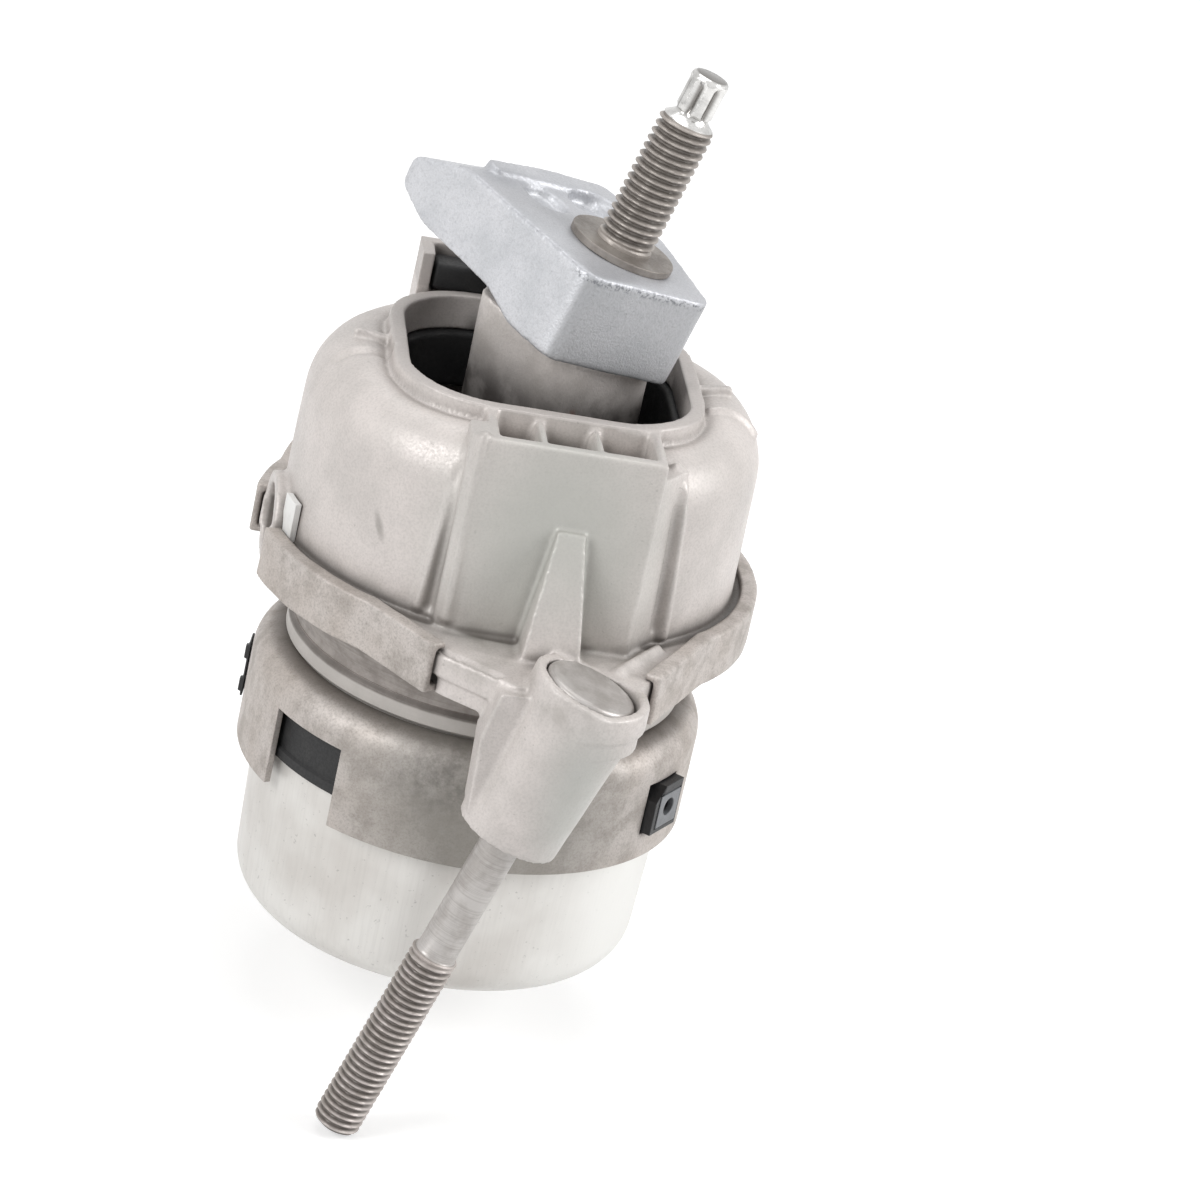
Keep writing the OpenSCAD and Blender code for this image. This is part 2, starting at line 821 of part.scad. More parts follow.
// Region of the flange that the channel leaves free at the front boss
module front_gap() {
    left = flat_foot(flat_left_at, flat_left) + channel_left * along_left();
    right = flat_foot(flat_right_at, flat_right) + channel_right * along_right();
    left_out = [cos(flat_left_at), sin(flat_left_at)];
    right_out = [cos(flat_right_at), sin(flat_right_at)];
    polygon([
        left - 12 * left_out,
        left + 20 * left_out,
        [0, -2 * boss_y],
        right + 20 * right_out,
        right - 12 * right_out]);
}

// Region that the channel leaves free at the rear boss
module rear_gap() {
    rotate([0, 0, rear_at])
        translate([flange_r - 14, -rear_boss_r - 9])
            square([60, 2 * rear_boss_r + 18]);
}

// Rolled channel section all round, within a sector between two angles
module channel_piece(from, to) {
    height = flange_top + channel_wall - channel_low;
    color([0.67, 0.64, 0.61])
    difference() {
        translate([0, 0, channel_low])
            linear_extrude(height)
                intersection() {
                    flange_outline(channel_gap + channel_wall);
                    sector(from, to, big);
                }
        translate([0, 0, channel_low + channel_wall])
            linear_extrude(height - 2 * channel_wall)
                flange_outline(channel_gap);
        translate([0, 0, channel_low - 1])
            linear_extrude(height + 2) {
                flange_outline(-channel_lip);
                front_gap();
                rear_gap();
            }
    }
}

// Rolled steel channel from the side boss to the front boss
module channel_left_piece() {
    channel_piece(ear_at + ear_spread, flat_left_at + 40);
}

// Short channel between the side boss and the rear boss
module channel_rear_piece() {
    channel_piece(rear_at, 360 + ear_at - ear_spread);
}

// Long channel from the front boss round the right side to the rear boss
module channel_right_piece() {
    channel_piece(flat_right_at - 45, rear_at);
}

// Rubber gasket between the base ring's rim and the housing
module flange_seal() {
    seal_t = 0.6;
    color([0.1, 0.1, 0.1])
    translate([0, 0, joint_z])
        difference() {
            cylinder(r = wall_inner_foot - gap, h = seal_t + 1);
            translate([0, 0, -1])
                cylinder(r = ring_mouth_r + 0.2, h = 5);
        }
}

// Rubber ring under the lip that cushions the core sideways
module snubber_ring() {
    color([0.07, 0.07, 0.075])
    difference() {
        translate([0, 0, lip_low - snubber_h])
            linear_extrude(snubber_h)
                opening_outline(lip_w);
        translate([0, 0, lip_low - snubber_h - 1])
            linear_extrude(snubber_h + 2)
                opening_outline(-snubber_in);
    }
}

// Cast aluminium arm with its sloping nose
module top_arm() {
    side = rounded([
        [0, 0],
        [arm_len, 0],
        [arm_len + nose_len, -nose_drop],
        [arm_len + nose_len - 1, -nose_drop - 6],
        [arm_len + 4, -arm_t + 2.8],
        [arm_len - 19, -arm_t + 2],
        [arm_len - 28, -arm_t - 1],
        [0, -arm_t - 1],
        [-20, -arm_t - 1],
        [-20, 0]],
        [0, 6, 3, 3, 6, 5, 5, 0, 0, 0]);
    plan = rounded([
        [0, 0],
        [arm_len + nose_len + 1, 0],
        [arm_len + nose_len + 1, nose_w],
        [arm_len + 4, nose_w + 3],
        [arm_len + 1, 2 * arm_side],
        [arm_len - 20, 2 * arm_side],
        [-arm_skew, 1.5 * arm_side]],
        [4, 4, 6, 3, 6, 8, 4]);
    ridge = rounded([
        [arm_len - 2, 6],
        [arm_len + 3, 8],
        [arm_len + 3, nose_w + 2],
        [arm_len, 2 * arm_side - 1.5],
        [arm_len - 19, 2 * arm_side - 1.5],
        [arm_len - 19, 2 * arm_side - 7],
        [arm_len - 6, 2 * arm_side - 7],
        [arm_len - 4, nose_w]],
        [2, 2, 3, 3, 2, 2, 4, 6]);
    color([0.83, 0.84, 0.86])
    difference() {
        at_arm() {
            intersection() {
                translate([0, 0, -arm_t - 1])
                    linear_extrude(arm_t + 1)
                        polygon(plan);
                translate([0, 60, 0])
                    rotate([90, 0, 0])
                        linear_extrude(80)
                            polygon(side);
            }
            translate([0, 0, -3])
                linear_extrude(3 + ridge_h)
                    polygon(ridge);
        }
        at_stud()
            translate([0, 0, -arm_t - 2])
                cylinder(r = stud_shank_r + gap, h = arm_t + 4);
        arm_pockets();
    }
}

// Two shallow lightening pockets in the arm's top
module arm_pockets() {
    at_arm()
        for (y = [nose_w - 5, nose_w + 8])
            translate([arm_len - 9, y, -2])
                linear_extrude(4)
                    rounded_rect(9, 8, 3);
}

// Washer under the stud's thread
module stud_washer() {
    color([0.63, 0.60, 0.55])
    at_stud()
        difference() {
            cylinder(r = washer_r, h = washer_t);
            translate([0, 0, -1])
                cylinder(r = stud_shank_r + 0.15, h = washer_t + 2);
        }
}

// Stud that ties arm and core together and ends in a six-lobed drive
module stud() {
    tip_z = washer_t + stud_thread_len;
    cone_h = 2;
    lobe_r = drive_r * 0.3;
    color([0.5, 0.48, 0.45])
    at_stud() {
        translate([0, 0, -arm_t - stud_depth])
            cylinder(r = stud_shank_r, h = arm_t + stud_depth + washer_t + 1);
        translate([0, 0, washer_t])
            cylinder(r = stud_r, h = stud_thread_len);
        translate([0, 0, tip_z])
            cylinder(r1 = stud_r - 0.6, r2 = drive_r - 0.2, h = cone_h);
        difference() {
            translate([0, 0, tip_z])
                cylinder(r = drive_r, h = cone_h + drive_len);
            for (i = [0:5])
                rotate([0, 0, 60 * i + 10])
                    translate([drive_r + lobe_r * 0.25, 0, tip_z + cone_h])
                        cylinder(r = lobe_r, h = drive_len - 1.2);
        }
    }
}

// Long steel bolt with a plain round head
module long_bolt() {
    head_low = 1 - seat_depth;
    shank_len = bolt_len - bolt_thread_len;
    color([0.52, 0.50, 0.48])
    at_front_boss()
        translate([0, 0, head_low]) {
            cylinder(r = bolt_head_r, h = bolt_head_t - 0.8);
            translate([0, 0, bolt_head_t - 0.8])
                cylinder(r1 = bolt_head_r, r2 = bolt_head_r - 0.8, h = 0.8);
            translate([0, 0, -shank_len])
                cylinder(r = shank_r, h = shank_len + 1);
            translate([0, 0, -bolt_len + bolt_tip_chamfer])
                cylinder(r = bolt_r, h = bolt_thread_len - bolt_tip_chamfer);
            translate([0, 0, -bolt_len])
                cylinder(r1 = bolt_r - bolt_tip_chamfer, r2 = bolt_r, h = bolt_tip_chamfer);
        }
}

// Steel sleeve that takes the bolt's clamping load through the boss
module bolt_sleeve() {
    color([0.58, 0.57, 0.55])
    at_front_boss()
        translate([0, 0, -boss_len])
            difference() {
                cylinder(r = sleeve_bore_r + sleeve_wall - 0.05, h = boss_len + 1 - seat_depth);
                translate([0, 0, -1])
                    cylinder(r = sleeve_bore_r, h = boss_len + 4);
            }
}

// Upper plate of the damping track
module upper_track_plate() {
    color([0.75, 0.75, 0.74])
    difference() {
        translate([0, 0, upper_plate_low])
            cylinder(r = plate_r, h = plate_t);
        translate([0, 0, upper_plate_low - eps])
            cylinder(r = decoupler_r + gap, h = decoupler_t / 2 + 0.2);
        translate([0, 0, upper_plate_low - eps])
            difference() {
                cylinder(r = plate_r - 4, h = plate_t / 2);
                translate([0, 0, -1])
                    cylinder(r = plate_r - 11, h = plate_t);
            }
        plate_holes(upper_plate_low - 1);
    }
}

// Ring of flow holes above and below the decoupler
module plate_holes(z) {
    for (i = [0:5])
        rotate([0, 0, 60 * i])
            translate([decoupler_r * 0.55, 0, z])
                cylinder(r = 3, h = plate_t + 2);
}

// Lower plate of the damping track
module lower_track_plate() {
    color([0.7, 0.7, 0.69])
    difference() {
        translate([0, 0, lower_plate_low])
            cylinder(r = plate_r, h = plate_t - gap);
        translate([0, 0, upper_plate_low - gap - decoupler_t / 2])
            cylinder(r = decoupler_r + gap, h = 5);
        plate_holes(lower_plate_low - 1);
    }
}

// Loose rubber disc between the two track plates
module decoupler() {
    color([0.12, 0.12, 0.12])
    translate([0, 0, upper_plate_low - gap - decoupler_t / 2])
        cylinder(r = decoupler_r, h = decoupler_t);
}

// Thin rolling rubber diaphragm with a clamped rim
module diaphragm() {
    fold_r = 5;
    deep = 17;
    low = rim_low - deep;
    rim_r = plate_r - 1;
    outer = rim_r - 3;
    color([0.09, 0.09, 0.09])
    rotate_extrude()
        polygon(concat(
            [[rim_r, rim_low], [rim_r, rim_low + rim_t - 0.1],
                [outer - diaphragm_t, rim_low + rim_t - 0.1]],
            arc([outer - diaphragm_t - fold_r, low + fold_r], fold_r, 0, -180, 10),
            [[outer - diaphragm_t - 2 * fold_r - 3, rim_low - 3],
                [0, rim_low - 4],
                [0, rim_low - 4 - diaphragm_t],
                [outer - 2 * fold_r - diaphragm_t - 2 * diaphragm_t - 2.4,
                    rim_low - 3 - diaphragm_t]],
            arc([outer - diaphragm_t - fold_r, low + fold_r],
                fold_r + diaphragm_t, -180, 0, 10),
            [[outer, rim_low]]));
}

// Steel ring that presses the diaphragm's rim against the lower plate
module diaphragm_ring() {
    outer = can_r(rim_low - clamp_ring_h) - can_wall - gap;
    color([0.55, 0.55, 0.55])
    translate([0, 0, rim_low - clamp_ring_h])
        difference() {
            cylinder(r = outer, h = clamp_ring_h);
            translate([0, 0, -1])
                cylinder(r = plate_r - 1 - 3 + gap, h = clamp_ring_h + 2);
        }
}

port_low = collar_low + 6.2;

// Black plastic port block in the skirt
module vacuum_port() {
    inner = can_r(port_low + port_h) + gap;
    bevel = 3;
    color([0.09, 0.09, 0.1])
    rotate([0, 0, port_at])
        translate([0, 0, port_low])
            difference() {
                translate([inner, 0, 0])
                    rotate([90, 0, 90])
                        linear_extrude(port_face_at - inner)
                            polygon([
                                [-port_w / 2, 0], [port_w / 2, 0], [port_w / 2, port_h],
                                [-port_w / 2 + bevel, port_h],
                                [-port_w / 2, port_h - bevel]]);
                translate([port_face_at - 1, -port_w / 2 + 1.4, 1])
                    cube([5, port_w - 1.8, port_h - 2.8]);
                port_hole(inner + 1);
            }
}

// Hole through the port, from a radius outwards
module port_hole(from) {
    translate([from, 0.4, port_h / 2])
        rotate([0, 90, 0])
            cylinder(r = 1.9, h = 20);
}

// Grey face plate of the port
module port_face() {
    color([0.45, 0.46, 0.48])
    rotate([0, 0, port_at])
        translate([0, 0, port_low])
            difference() {
                translate([port_face_at - 1, -port_w / 2 + 1.6, 1.2])
                    cube([1.2, port_w - 2.2, port_h - 3.2]);
                port_hole(port_face_at - 3);
            }
}

// Black plastic clip with two hooks on the skirt's left side
module cable_clip() {
    clip_t = 1;
    low = collar_low + 6;
    high = collar_shoulder_z - 0.5;
    color([0.1, 0.1, 0.1])
    rotate([0, 0, clip_at])
        translate([collar_r + 0.15, -clip_w / 2, 0]) {
            translate([0, 0, low])
                cube([clip_t, clip_w, high - low]);
            for (z = [low + 1, high - 4])
                translate([0, clip_w - 1.6, z])
                    cube([clip_t + 1.2, 1.6, 3]);
        }
}

// White plastic locating tab between the wall and the channel's lip
module locating_tab() {
    tab_at = -163.6;
    tab_span = 7;
    color([0.95, 0.95, 0.94])
    difference() {
        translate([0, 0, flange_top])
            intersection() {
                difference() {
                    cylinder(r = wall_foot_r + 1.5, h = 8.5);
                    translate([0, 0, -1])
                        cylinder(r = wall_foot_r + 0.1, h = 14);
                }
                linear_extrude(12)
                    sector(tab_at - tab_span / 2, tab_at + tab_span / 2, 60);
            }
        rotate([0, 0, ear_at])
            translate([ring_cone_r, 0, ear_z])
                rotate([0, 90, 0])
                    cylinder(r = ear_r + gap, h = 10);
    }
}

lower_can();
collar();
band_seal();
base_ring();
main_spring();
core_column();
upper_housing();
channel_left_piece();
channel_rear_piece();
channel_right_piece();
flange_seal();
snubber_ring();
tower_buffer();
top_arm();
stud();
stud_washer();
long_bolt();
bolt_sleeve();
upper_track_plate();
lower_track_plate();
decoupler();
diaphragm();
diaphragm_ring();
fill_ball();
vacuum_port();
port_face();
cable_clip();
locating_tab();
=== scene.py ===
import bpy, bmesh, math
import numpy as np
from mathutils import Matrix, Vector, noise


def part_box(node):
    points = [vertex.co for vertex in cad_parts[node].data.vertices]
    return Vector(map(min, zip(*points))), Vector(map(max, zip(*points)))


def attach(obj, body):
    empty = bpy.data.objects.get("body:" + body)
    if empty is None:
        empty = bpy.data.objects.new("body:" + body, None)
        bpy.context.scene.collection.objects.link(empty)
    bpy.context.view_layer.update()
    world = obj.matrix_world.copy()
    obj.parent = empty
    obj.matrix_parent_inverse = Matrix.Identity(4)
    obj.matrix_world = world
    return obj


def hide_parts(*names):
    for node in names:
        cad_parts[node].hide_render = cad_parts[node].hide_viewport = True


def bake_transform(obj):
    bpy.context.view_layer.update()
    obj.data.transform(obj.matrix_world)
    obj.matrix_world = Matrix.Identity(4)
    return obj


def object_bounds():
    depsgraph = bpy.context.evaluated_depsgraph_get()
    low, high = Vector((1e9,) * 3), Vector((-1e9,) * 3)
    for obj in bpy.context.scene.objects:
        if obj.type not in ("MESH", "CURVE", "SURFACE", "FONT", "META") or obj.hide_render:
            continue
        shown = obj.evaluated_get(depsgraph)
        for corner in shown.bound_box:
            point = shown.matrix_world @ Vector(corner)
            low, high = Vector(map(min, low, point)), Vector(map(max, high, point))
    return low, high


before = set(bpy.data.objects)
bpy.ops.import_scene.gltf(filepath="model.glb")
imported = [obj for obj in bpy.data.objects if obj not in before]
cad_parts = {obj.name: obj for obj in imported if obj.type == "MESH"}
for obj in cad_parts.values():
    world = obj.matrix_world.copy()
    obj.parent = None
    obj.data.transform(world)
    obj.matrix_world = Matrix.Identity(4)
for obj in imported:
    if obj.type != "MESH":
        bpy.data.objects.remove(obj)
cadLow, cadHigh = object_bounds()
scene = bpy.context.scene
mm = 0.001

# camera, at the photograph's angle: degrees, mm, and the aim's place in the square picture
cameraView = {"turn": 10, "tilt": 23.3, "roll": 12.8, "distance": 1000, "lens": 144, "sensor": 36,
              "square": 1200, "across": 458.5, "down": 765, "aimHeight": 33}


def placeCamera(view):
    turn, tilt, roll = (math.radians(view[k]) for k in ("turn", "tilt", "roll"))
    ahead = Vector((math.sin(turn), math.cos(turn), 0))
    level = Vector((math.cos(turn), -math.sin(turn), 0))
    look = ahead * math.cos(tilt) - Vector((0, 0, math.sin(tilt)))
    rise = ahead * math.sin(tilt) + Vector((0, 0, math.cos(tilt)))
    right = level * math.cos(roll) + rise * math.sin(roll)
    up = rise * math.cos(roll) - level * math.sin(roll)
    middle = view["square"] / 2
    perPixel = view["distance"] / (view["lens"] / view["sensor"] * view["square"])
    spot = (-look * view["distance"] - right * (view["across"] - middle) * perPixel
            + up * (view["down"] - middle) * perPixel + Vector((0, 0, view["aimHeight"])))
    camera = bpy.data.objects.new("camera", bpy.data.cameras.new("camera"))
    scene.collection.objects.link(camera)
    camera.data.sensor_width = view["sensor"]
    camera.data.lens = view["lens"]
    camera.data.clip_start, camera.data.clip_end = 0.05, 20
    turned = Matrix((right, up, -look)).transposed().to_4x4()
    camera.matrix_world = Matrix.Translation(spot * mm) @ turned
    scene.camera = camera


placeCamera(cameraView)
print("camera placed")

# frames of the leaning pieces, in mm and degrees
leaning = {"studFoot": (9.8, 0, 150.7), "studLean": 15, "boltHead": (12, -65.5, 84), "boltLean": 17,
           "armTurn": 126.5, "armCorner": (-14, 21, 0)}


def turnBy(angle, axis):
    return Matrix.Rotation(math.radians(angle), 4, axis)


studFrame = Matrix.Translation(leaning["studFoot"]) @ turnBy(leaning["studLean"], "Y")
boltFrame = Matrix.Translation(leaning["boltHead"]) @ turnBy(leaning["boltLean"], "Y")
armFrame = studFrame @ turnBy(leaning["armTurn"], "Z") @ Matrix.Translation(leaning["armCorner"])

# node helpers; patterns are in mm on Object coordinates


def tone(red, green, blue):  # a screen tone, 0 to 255, as linear light
    parts = [c / 255 for c in (red, green, blue)]
    return tuple(c / 12.92 if c < 0.0404 else ((c + 0.055) / 1.055) ** 2.4 for c in parts) + (1,)


def addNode(tree, kind, inputs=None, **settings):
    made = tree.nodes.new("ShaderNode" + kind)
    for key, value in settings.items():
        setattr(made, key, value)
    for key, value in (inputs or {}).items():
        if isinstance(value, bpy.types.NodeSocket):
            tree.links.new(value, made.inputs[key])
        else:
            made.inputs[key].default_value = value
    return made


def newFinish(name, metal, rough):
    finish = bpy.data.materials.new(name)
    finish.use_nodes = True
    shader = finish.node_tree.nodes["Principled BSDF"]
    shader.inputs["Metallic"].default_value = metal
    shader.inputs["Roughness"].default_value = rough
    return finish, finish.node_tree, shader


def place(tree, local=None, stretch=(1, 1, 1)):  # Object coordinates in mm, or in a leaning frame
    where = addNode(tree, "TexCoord").outputs["Object"]
    back = (local or Matrix.Identity(4)).inverted()
    turned = addNode(tree, "Mapping", {"Vector": where, "Scale": (1000, 1000, 1000),
                                       "Rotation": back.to_euler(), "Location": back.translation})
    if stretch == (1, 1, 1):
        return turned.outputs[0]
    return addNode(tree, "Mapping", {"Vector": turned.outputs[0], "Scale": stretch}).outputs[0]


def cloud(tree, vector, size, detail=3.0, rough=0.55):
    return addNode(tree, "TexNoise", {"Vector": vector, "Scale": 1 / size, "Detail": detail,
                                      "Roughness": rough}).outputs[0]


def steps(tree, value, low, high, outLow=0.0, outHigh=1.0):
    return addNode(tree, "MapRange", {"Value": value, "From Min": low, "From Max": high, "To Min": outLow,
                                      "To Max": outHigh}, interpolation_type="SMOOTHSTEP").outputs[0]


def sums(tree, kind, first, second=0.0):
    return addNode(tree, "Math", {0: first, 1: second}, operation=kind).outputs[0]


def times(tree, first, second):
    return sums(tree, "MULTIPLY", first, second)


def mixTones(tree, share, first, second):
    return addNode(tree, "Mix", {0: share, 6: first, 7: second}, data_type="RGBA").outputs[2]


def tinted(tree, colour, share, paint, amount):  # lays a screen tone over the colour
    return mixTones(tree, times(tree, share, amount), colour, tone(*paint))


def lengthOf(tree, vector):
    return addNode(tree, "VectorMath", {0: vector}, operation="LENGTH").outputs[1]


def heightOf(tree, at):
    return addNode(tree, "SeparateXYZ", {0: at}).outputs[2]


def outOf(tree, at):  # distance from the Z axis
    return lengthOf(tree, addNode(tree, "VectorMath", {0: at, 1: (1, 1, 0)}, operation="MULTIPLY").outputs[0])


def patch(tree, vector, centre, size):  # soft oval that is 1 at its centre
    away = addNode(tree, "VectorMath", {0: vector, 1: centre}, operation="SUBTRACT").outputs[0]
    away = addNode(tree, "VectorMath", {0: away, 1: size}, operation="DIVIDE").outputs[0]
    return steps(tree, lengthOf(tree, away), 0.2, 1.0, 1.0, 0.0)


def creaseShade(tree, reach):  # painted shade from ambient occlusion: 1 deep in a corner, 0 on open faces
    openness = addNode(tree, "AmbientOcclusion", {"Distance": reach * mm}, samples=8).outputs["AO"]
    return steps(tree, openness, 0.35, 0.95, 1, 0)


def relief(tree, shader, height, depth):
    bump = addNode(tree, "Bump", {"Height": height, "Strength": 1.0, "Distance": depth * mm})
    tree.links.new(bump.outputs[0], shader.inputs["Normal"])


# finishes; a look holds screen tones, most with how much of them is laid on


def castFinish(name, look, grainSize, grainDepth, metal, rough, local=None):  # cloudy, with pits and grain
    finish, tree, shader = newFinish(name, metal, rough)
    at = place(tree, local)
    broad = cloud(tree, at, 14, 3, 0.55)
    grain = cloud(tree, at, grainSize, 3, 0.6)
    pits = steps(tree, cloud(tree, at, grainSize * 2.2, 2, 0.5), 0.7, 0.78)
    colour = mixTones(tree, steps(tree, broad, 0.35, 0.7), tone(*look["pale"]), tone(*look["dark"]))
    colour = mixTones(tree, steps(tree, grain, 0.35, 0.75, 0, 0.22), colour, tone(140, 136, 132))
    colour = tinted(tree, colour, pits, (120, 116, 112), 0.3)
    tree.links.new(steps(tree, grain, 0.3, 0.7, rough - 0.08, rough + 0.1), shader.inputs["Roughness"])
    relief(tree, shader, sums(tree, "SUBTRACT", grain, times(tree, pits, 0.5)), grainDepth)
    return finish, tree, shader, at, colour


housingLook = {
    "pale": (216, 209, 205), "dark": (202, 196, 192), "boss": ((184, 185, 180), 0.8),
    "lip": ((176, 170, 166), 0.7), "front": ((186, 187, 181), 0.85), "scratch": ((120, 115, 110), 0.5),
    "dust": ((150, 145, 138), 1), "creviceShadow": ((84, 78, 72), 0.75), "creaseShade": ((96, 91, 87), 0.7),
    "inside": ((74, 70, 68), 0.9),
    "scratchSpot": (-30.7, -35.3, 98.8), "scratchTurn": -41, "scratchLean": -27}


def housingFinish(look):
    finish, tree, shader, at, colour = castFinish("castHousing", look, 0.5, 0.05, 0.16, 0.44)
    high, out = heightOf(tree, at), outOf(tree, at)
    # painted shade around the long bolt's seat, which faces away from the side lamps
    colour = tinted(tree, colour, patch(tree, at, (12, -74, 66), (11, 12, 26)), *look["boss"])
    colour = tinted(tree, colour, steps(tree, high, 124.6, 125.8), *look["lip"])
    # painted shade on the pad's forward face
    colour = tinted(tree, colour, patch(tree, at, (2, -43, 104), (32, 16, 44)), *look["front"])
    lean = Matrix.Translation(look["scratchSpot"]) @ turnBy(look["scratchTurn"], "Z")
    lean = lean @ turnBy(look["scratchLean"], "Y")
    scratch = patch(tree, place(tree, lean), (0, 0, 0), (1.3, 6, 4.2))
    colour = tinted(tree, colour, scratch, *look["scratch"])
    low = times(tree, steps(tree, high, 92, 83), steps(tree, high, 78, 84, 0.25, 1))
    dust = times(tree, low, steps(tree, cloud(tree, at, 5), 0.35, 0.75, 0.0, 0.45))
    colour = tinted(tree, colour, dust, *look["dust"])
    # painted shadow: a dark line along the channel's upper edge
    creviceShadow = times(tree, steps(tree, high, 86, 84.6), steps(tree, out, 49.4, 48.4))
    colour = tinted(tree, colour, creviceShadow, *look["creviceShadow"])
    # painted shade in corners and grooves
    colour = tinted(tree, colour, creaseShade(tree, 4), *look["creaseShade"])
    # painted shade within the opening, below the lip
    inside = times(tree, steps(tree, high, 124.5, 117), steps(tree, out, 31.5, 30.5))
    colour = tinted(tree, colour, inside, *look["inside"])
    tree.links.new(colour, shader.inputs["Base Color"])
    return finish


armLook = {
    "pale": (214, 215, 219), "dark": (198, 200, 204), "flakes": ((170, 172, 176), 0.3),
    "face": ((140, 141, 143), 0.5), "top": ((166, 167, 172), 0.45), "edge": ((128, 130, 134), 1)}


def armFinish(look):
    finish, tree, shader, at, colour = castFinish("castArm", look, 0.5, 0.12, 0.3, 0.36, armFrame)
    flakes = steps(tree, cloud(tree, at, 1.1, 4, 0.7), 0.5, 0.62)
    colour = tinted(tree, colour, flakes, *look["flakes"])
    along, across, height = addNode(tree, "SeparateXYZ", {0: at}).outputs
    # painted shade on the front-right face
    face = times(tree, steps(tree, along, 2.2, 0.8), steps(tree, height, -0.4, -1.6))
    colour = tinted(tree, colour, face, *look["face"])
    # painted shade on the top face
    colour = tinted(tree, colour, steps(tree, height, -1.2, -0.3), *look["top"])
    edge = steps(tree, sums(tree, "ABSOLUTE", sums(tree, "ADD", height, 1.2)), 1.1, 0.2)
    rough = steps(tree, cloud(tree, at, 0.8, 2, 0.7), 0.45, 0.62)
    spark = times(tree, times(tree, edge, steps(tree, along, 7, 2)), rough)
    colour = tinted(tree, colour, spark, *look["edge"])
    tree.links.new(colour, shader.inputs["Base Color"])
    return finish


coreLook = {
    "pale": (214, 208, 204), "dark": (192, 186, 181),
    "lowShade": ((74, 70, 68), 1), "stain": ((112, 72, 60), 0.8)}


def coreFinish(look):
    finish, tree, shader, at, colour = castFinish("castCore", look, 0.6, 0.05, 0.3, 0.45)
    # painted shade on the column's lower part, down in the opening, broken up by noise
    uneven = steps(tree, cloud(tree, at, 7, 3, 0.6), 0.3, 0.6, 0.75, 1.0)
    lowShade = times(tree, steps(tree, heightOf(tree, at), 131, 118), uneven)
    colour = tinted(tree, colour, lowShade, *look["lowShade"])
    ragged = steps(tree, cloud(tree, at, 1.4), 0.4, 0.6)
    stain = times(tree, patch(tree, at, (4, -17, 119.5), (3, 6, 3.4)), ragged)
    colour = tinted(tree, colour, stain, *look["stain"])
    tree.links.new(colour, shader.inputs["Base Color"])
    return finish


sheetLook = {
    "pale": (198, 191, 186), "blotch": (170, 163, 157), "broad": (190, 180, 172), "grain": (120, 113, 108),
    "creaseShade": ((84, 78, 73), 0.6), "ringShadow": ((92, 86, 80), 0.75), "grey": ((130, 128, 122), 0.75),
    "darkPatch": ((92, 88, 84), 0.55)}


def sheetFinish(look):  # pressed steel with dull blotches, and painted shade in corners, under the ring and on its forward side
    finish, tree, shader = newFinish("pressedSteel", 0.3, 0.42)
    at = place(tree)
    high = heightOf(tree, at)
    blotch = steps(tree, cloud(tree, at, 7, 6, 0.7), 0.4, 0.66)
    broad = cloud(tree, at, 26, 2)
    grain = cloud(tree, at, 0.45, 3, 0.7)
    colour = mixTones(tree, blotch, tone(*look["pale"]), tone(*look["blotch"]))
    colour = mixTones(tree, steps(tree, broad, 0.4, 0.65, 0, 0.5), colour, tone(*look["broad"]))
    colour = mixTones(tree, steps(tree, grain, 0.4, 0.75, 0, 0.45), colour, tone(*look["grain"]))
    # painted shade in corners and grooves
    colour = tinted(tree, colour, creaseShade(tree, 3), *look["creaseShade"])
    # painted shadow under the ring's overhang, on the skirt's shoulder
    ringShadow = times(tree, steps(tree, high, 56.5, 58.4), steps(tree, high, 62, 60))
    colour = tinted(tree, colour, ringShadow, *look["ringShadow"])
    # painted shade on the skirt's forward side
    colour = tinted(tree, colour, patch(tree, at, (2, -50, 44), (44, 40, 34)), *look["grey"])
    # a ragged darker patch on the skirt's shoulder below the ring
    ragged = steps(tree, cloud(tree, at, 3, 5, 0.7), 0.35, 0.65)
    darkPatch = times(tree, patch(tree, at, (-6, -46, 52), (22, 12, 12)), ragged)
    colour = tinted(tree, colour, darkPatch, *look["darkPatch"])
    tree.links.new(colour, shader.inputs["Base Color"])
    tree.links.new(steps(tree, blotch, 0, 1, 0.48, 0.62), shader.inputs["Roughness"])
    relief(tree, shader, grain, 0.04)
    return finish


canLook = {
    "pale": (226, 224, 220), "dark": (206, 202, 197), "streak": (178, 175, 170),
    "speck": ((140, 138, 134), 0.4), "bright": ((246, 246, 243), 0.8)}


def canFinish(look):  # pale drawn aluminium with faint streaks and specks, and painted light on its right side
    finish, tree, shader = newFinish("drawnAluminium", 0.4, 0.42)
    at = place(tree)
    streak = cloud(tree, place(tree, None, (1, 1, 0.05)), 0.8, 3, 0.6)
    broad = cloud(tree, at, 24, 4, 0.5)
    speck = steps(tree, cloud(tree, at, 1.0, 3, 0.6), 0.64, 0.72)
    colour = mixTones(tree, steps(tree, broad, 0.35, 0.68), tone(*look["pale"]), tone(*look["dark"]))
    colour = mixTones(tree, steps(tree, streak, 0.4, 0.75, 0, 0.14), colour, tone(*look["streak"]))
    colour = tinted(tree, colour, speck, *look["speck"])
    # painted light on the can's right side
    colour = tinted(tree, colour, patch(tree, at, (42, -34, 16), (34, 44, 60)), *look["bright"])
    tree.links.new(colour, shader.inputs["Base Color"])
    relief(tree, shader, streak, 0.02)
    return finish
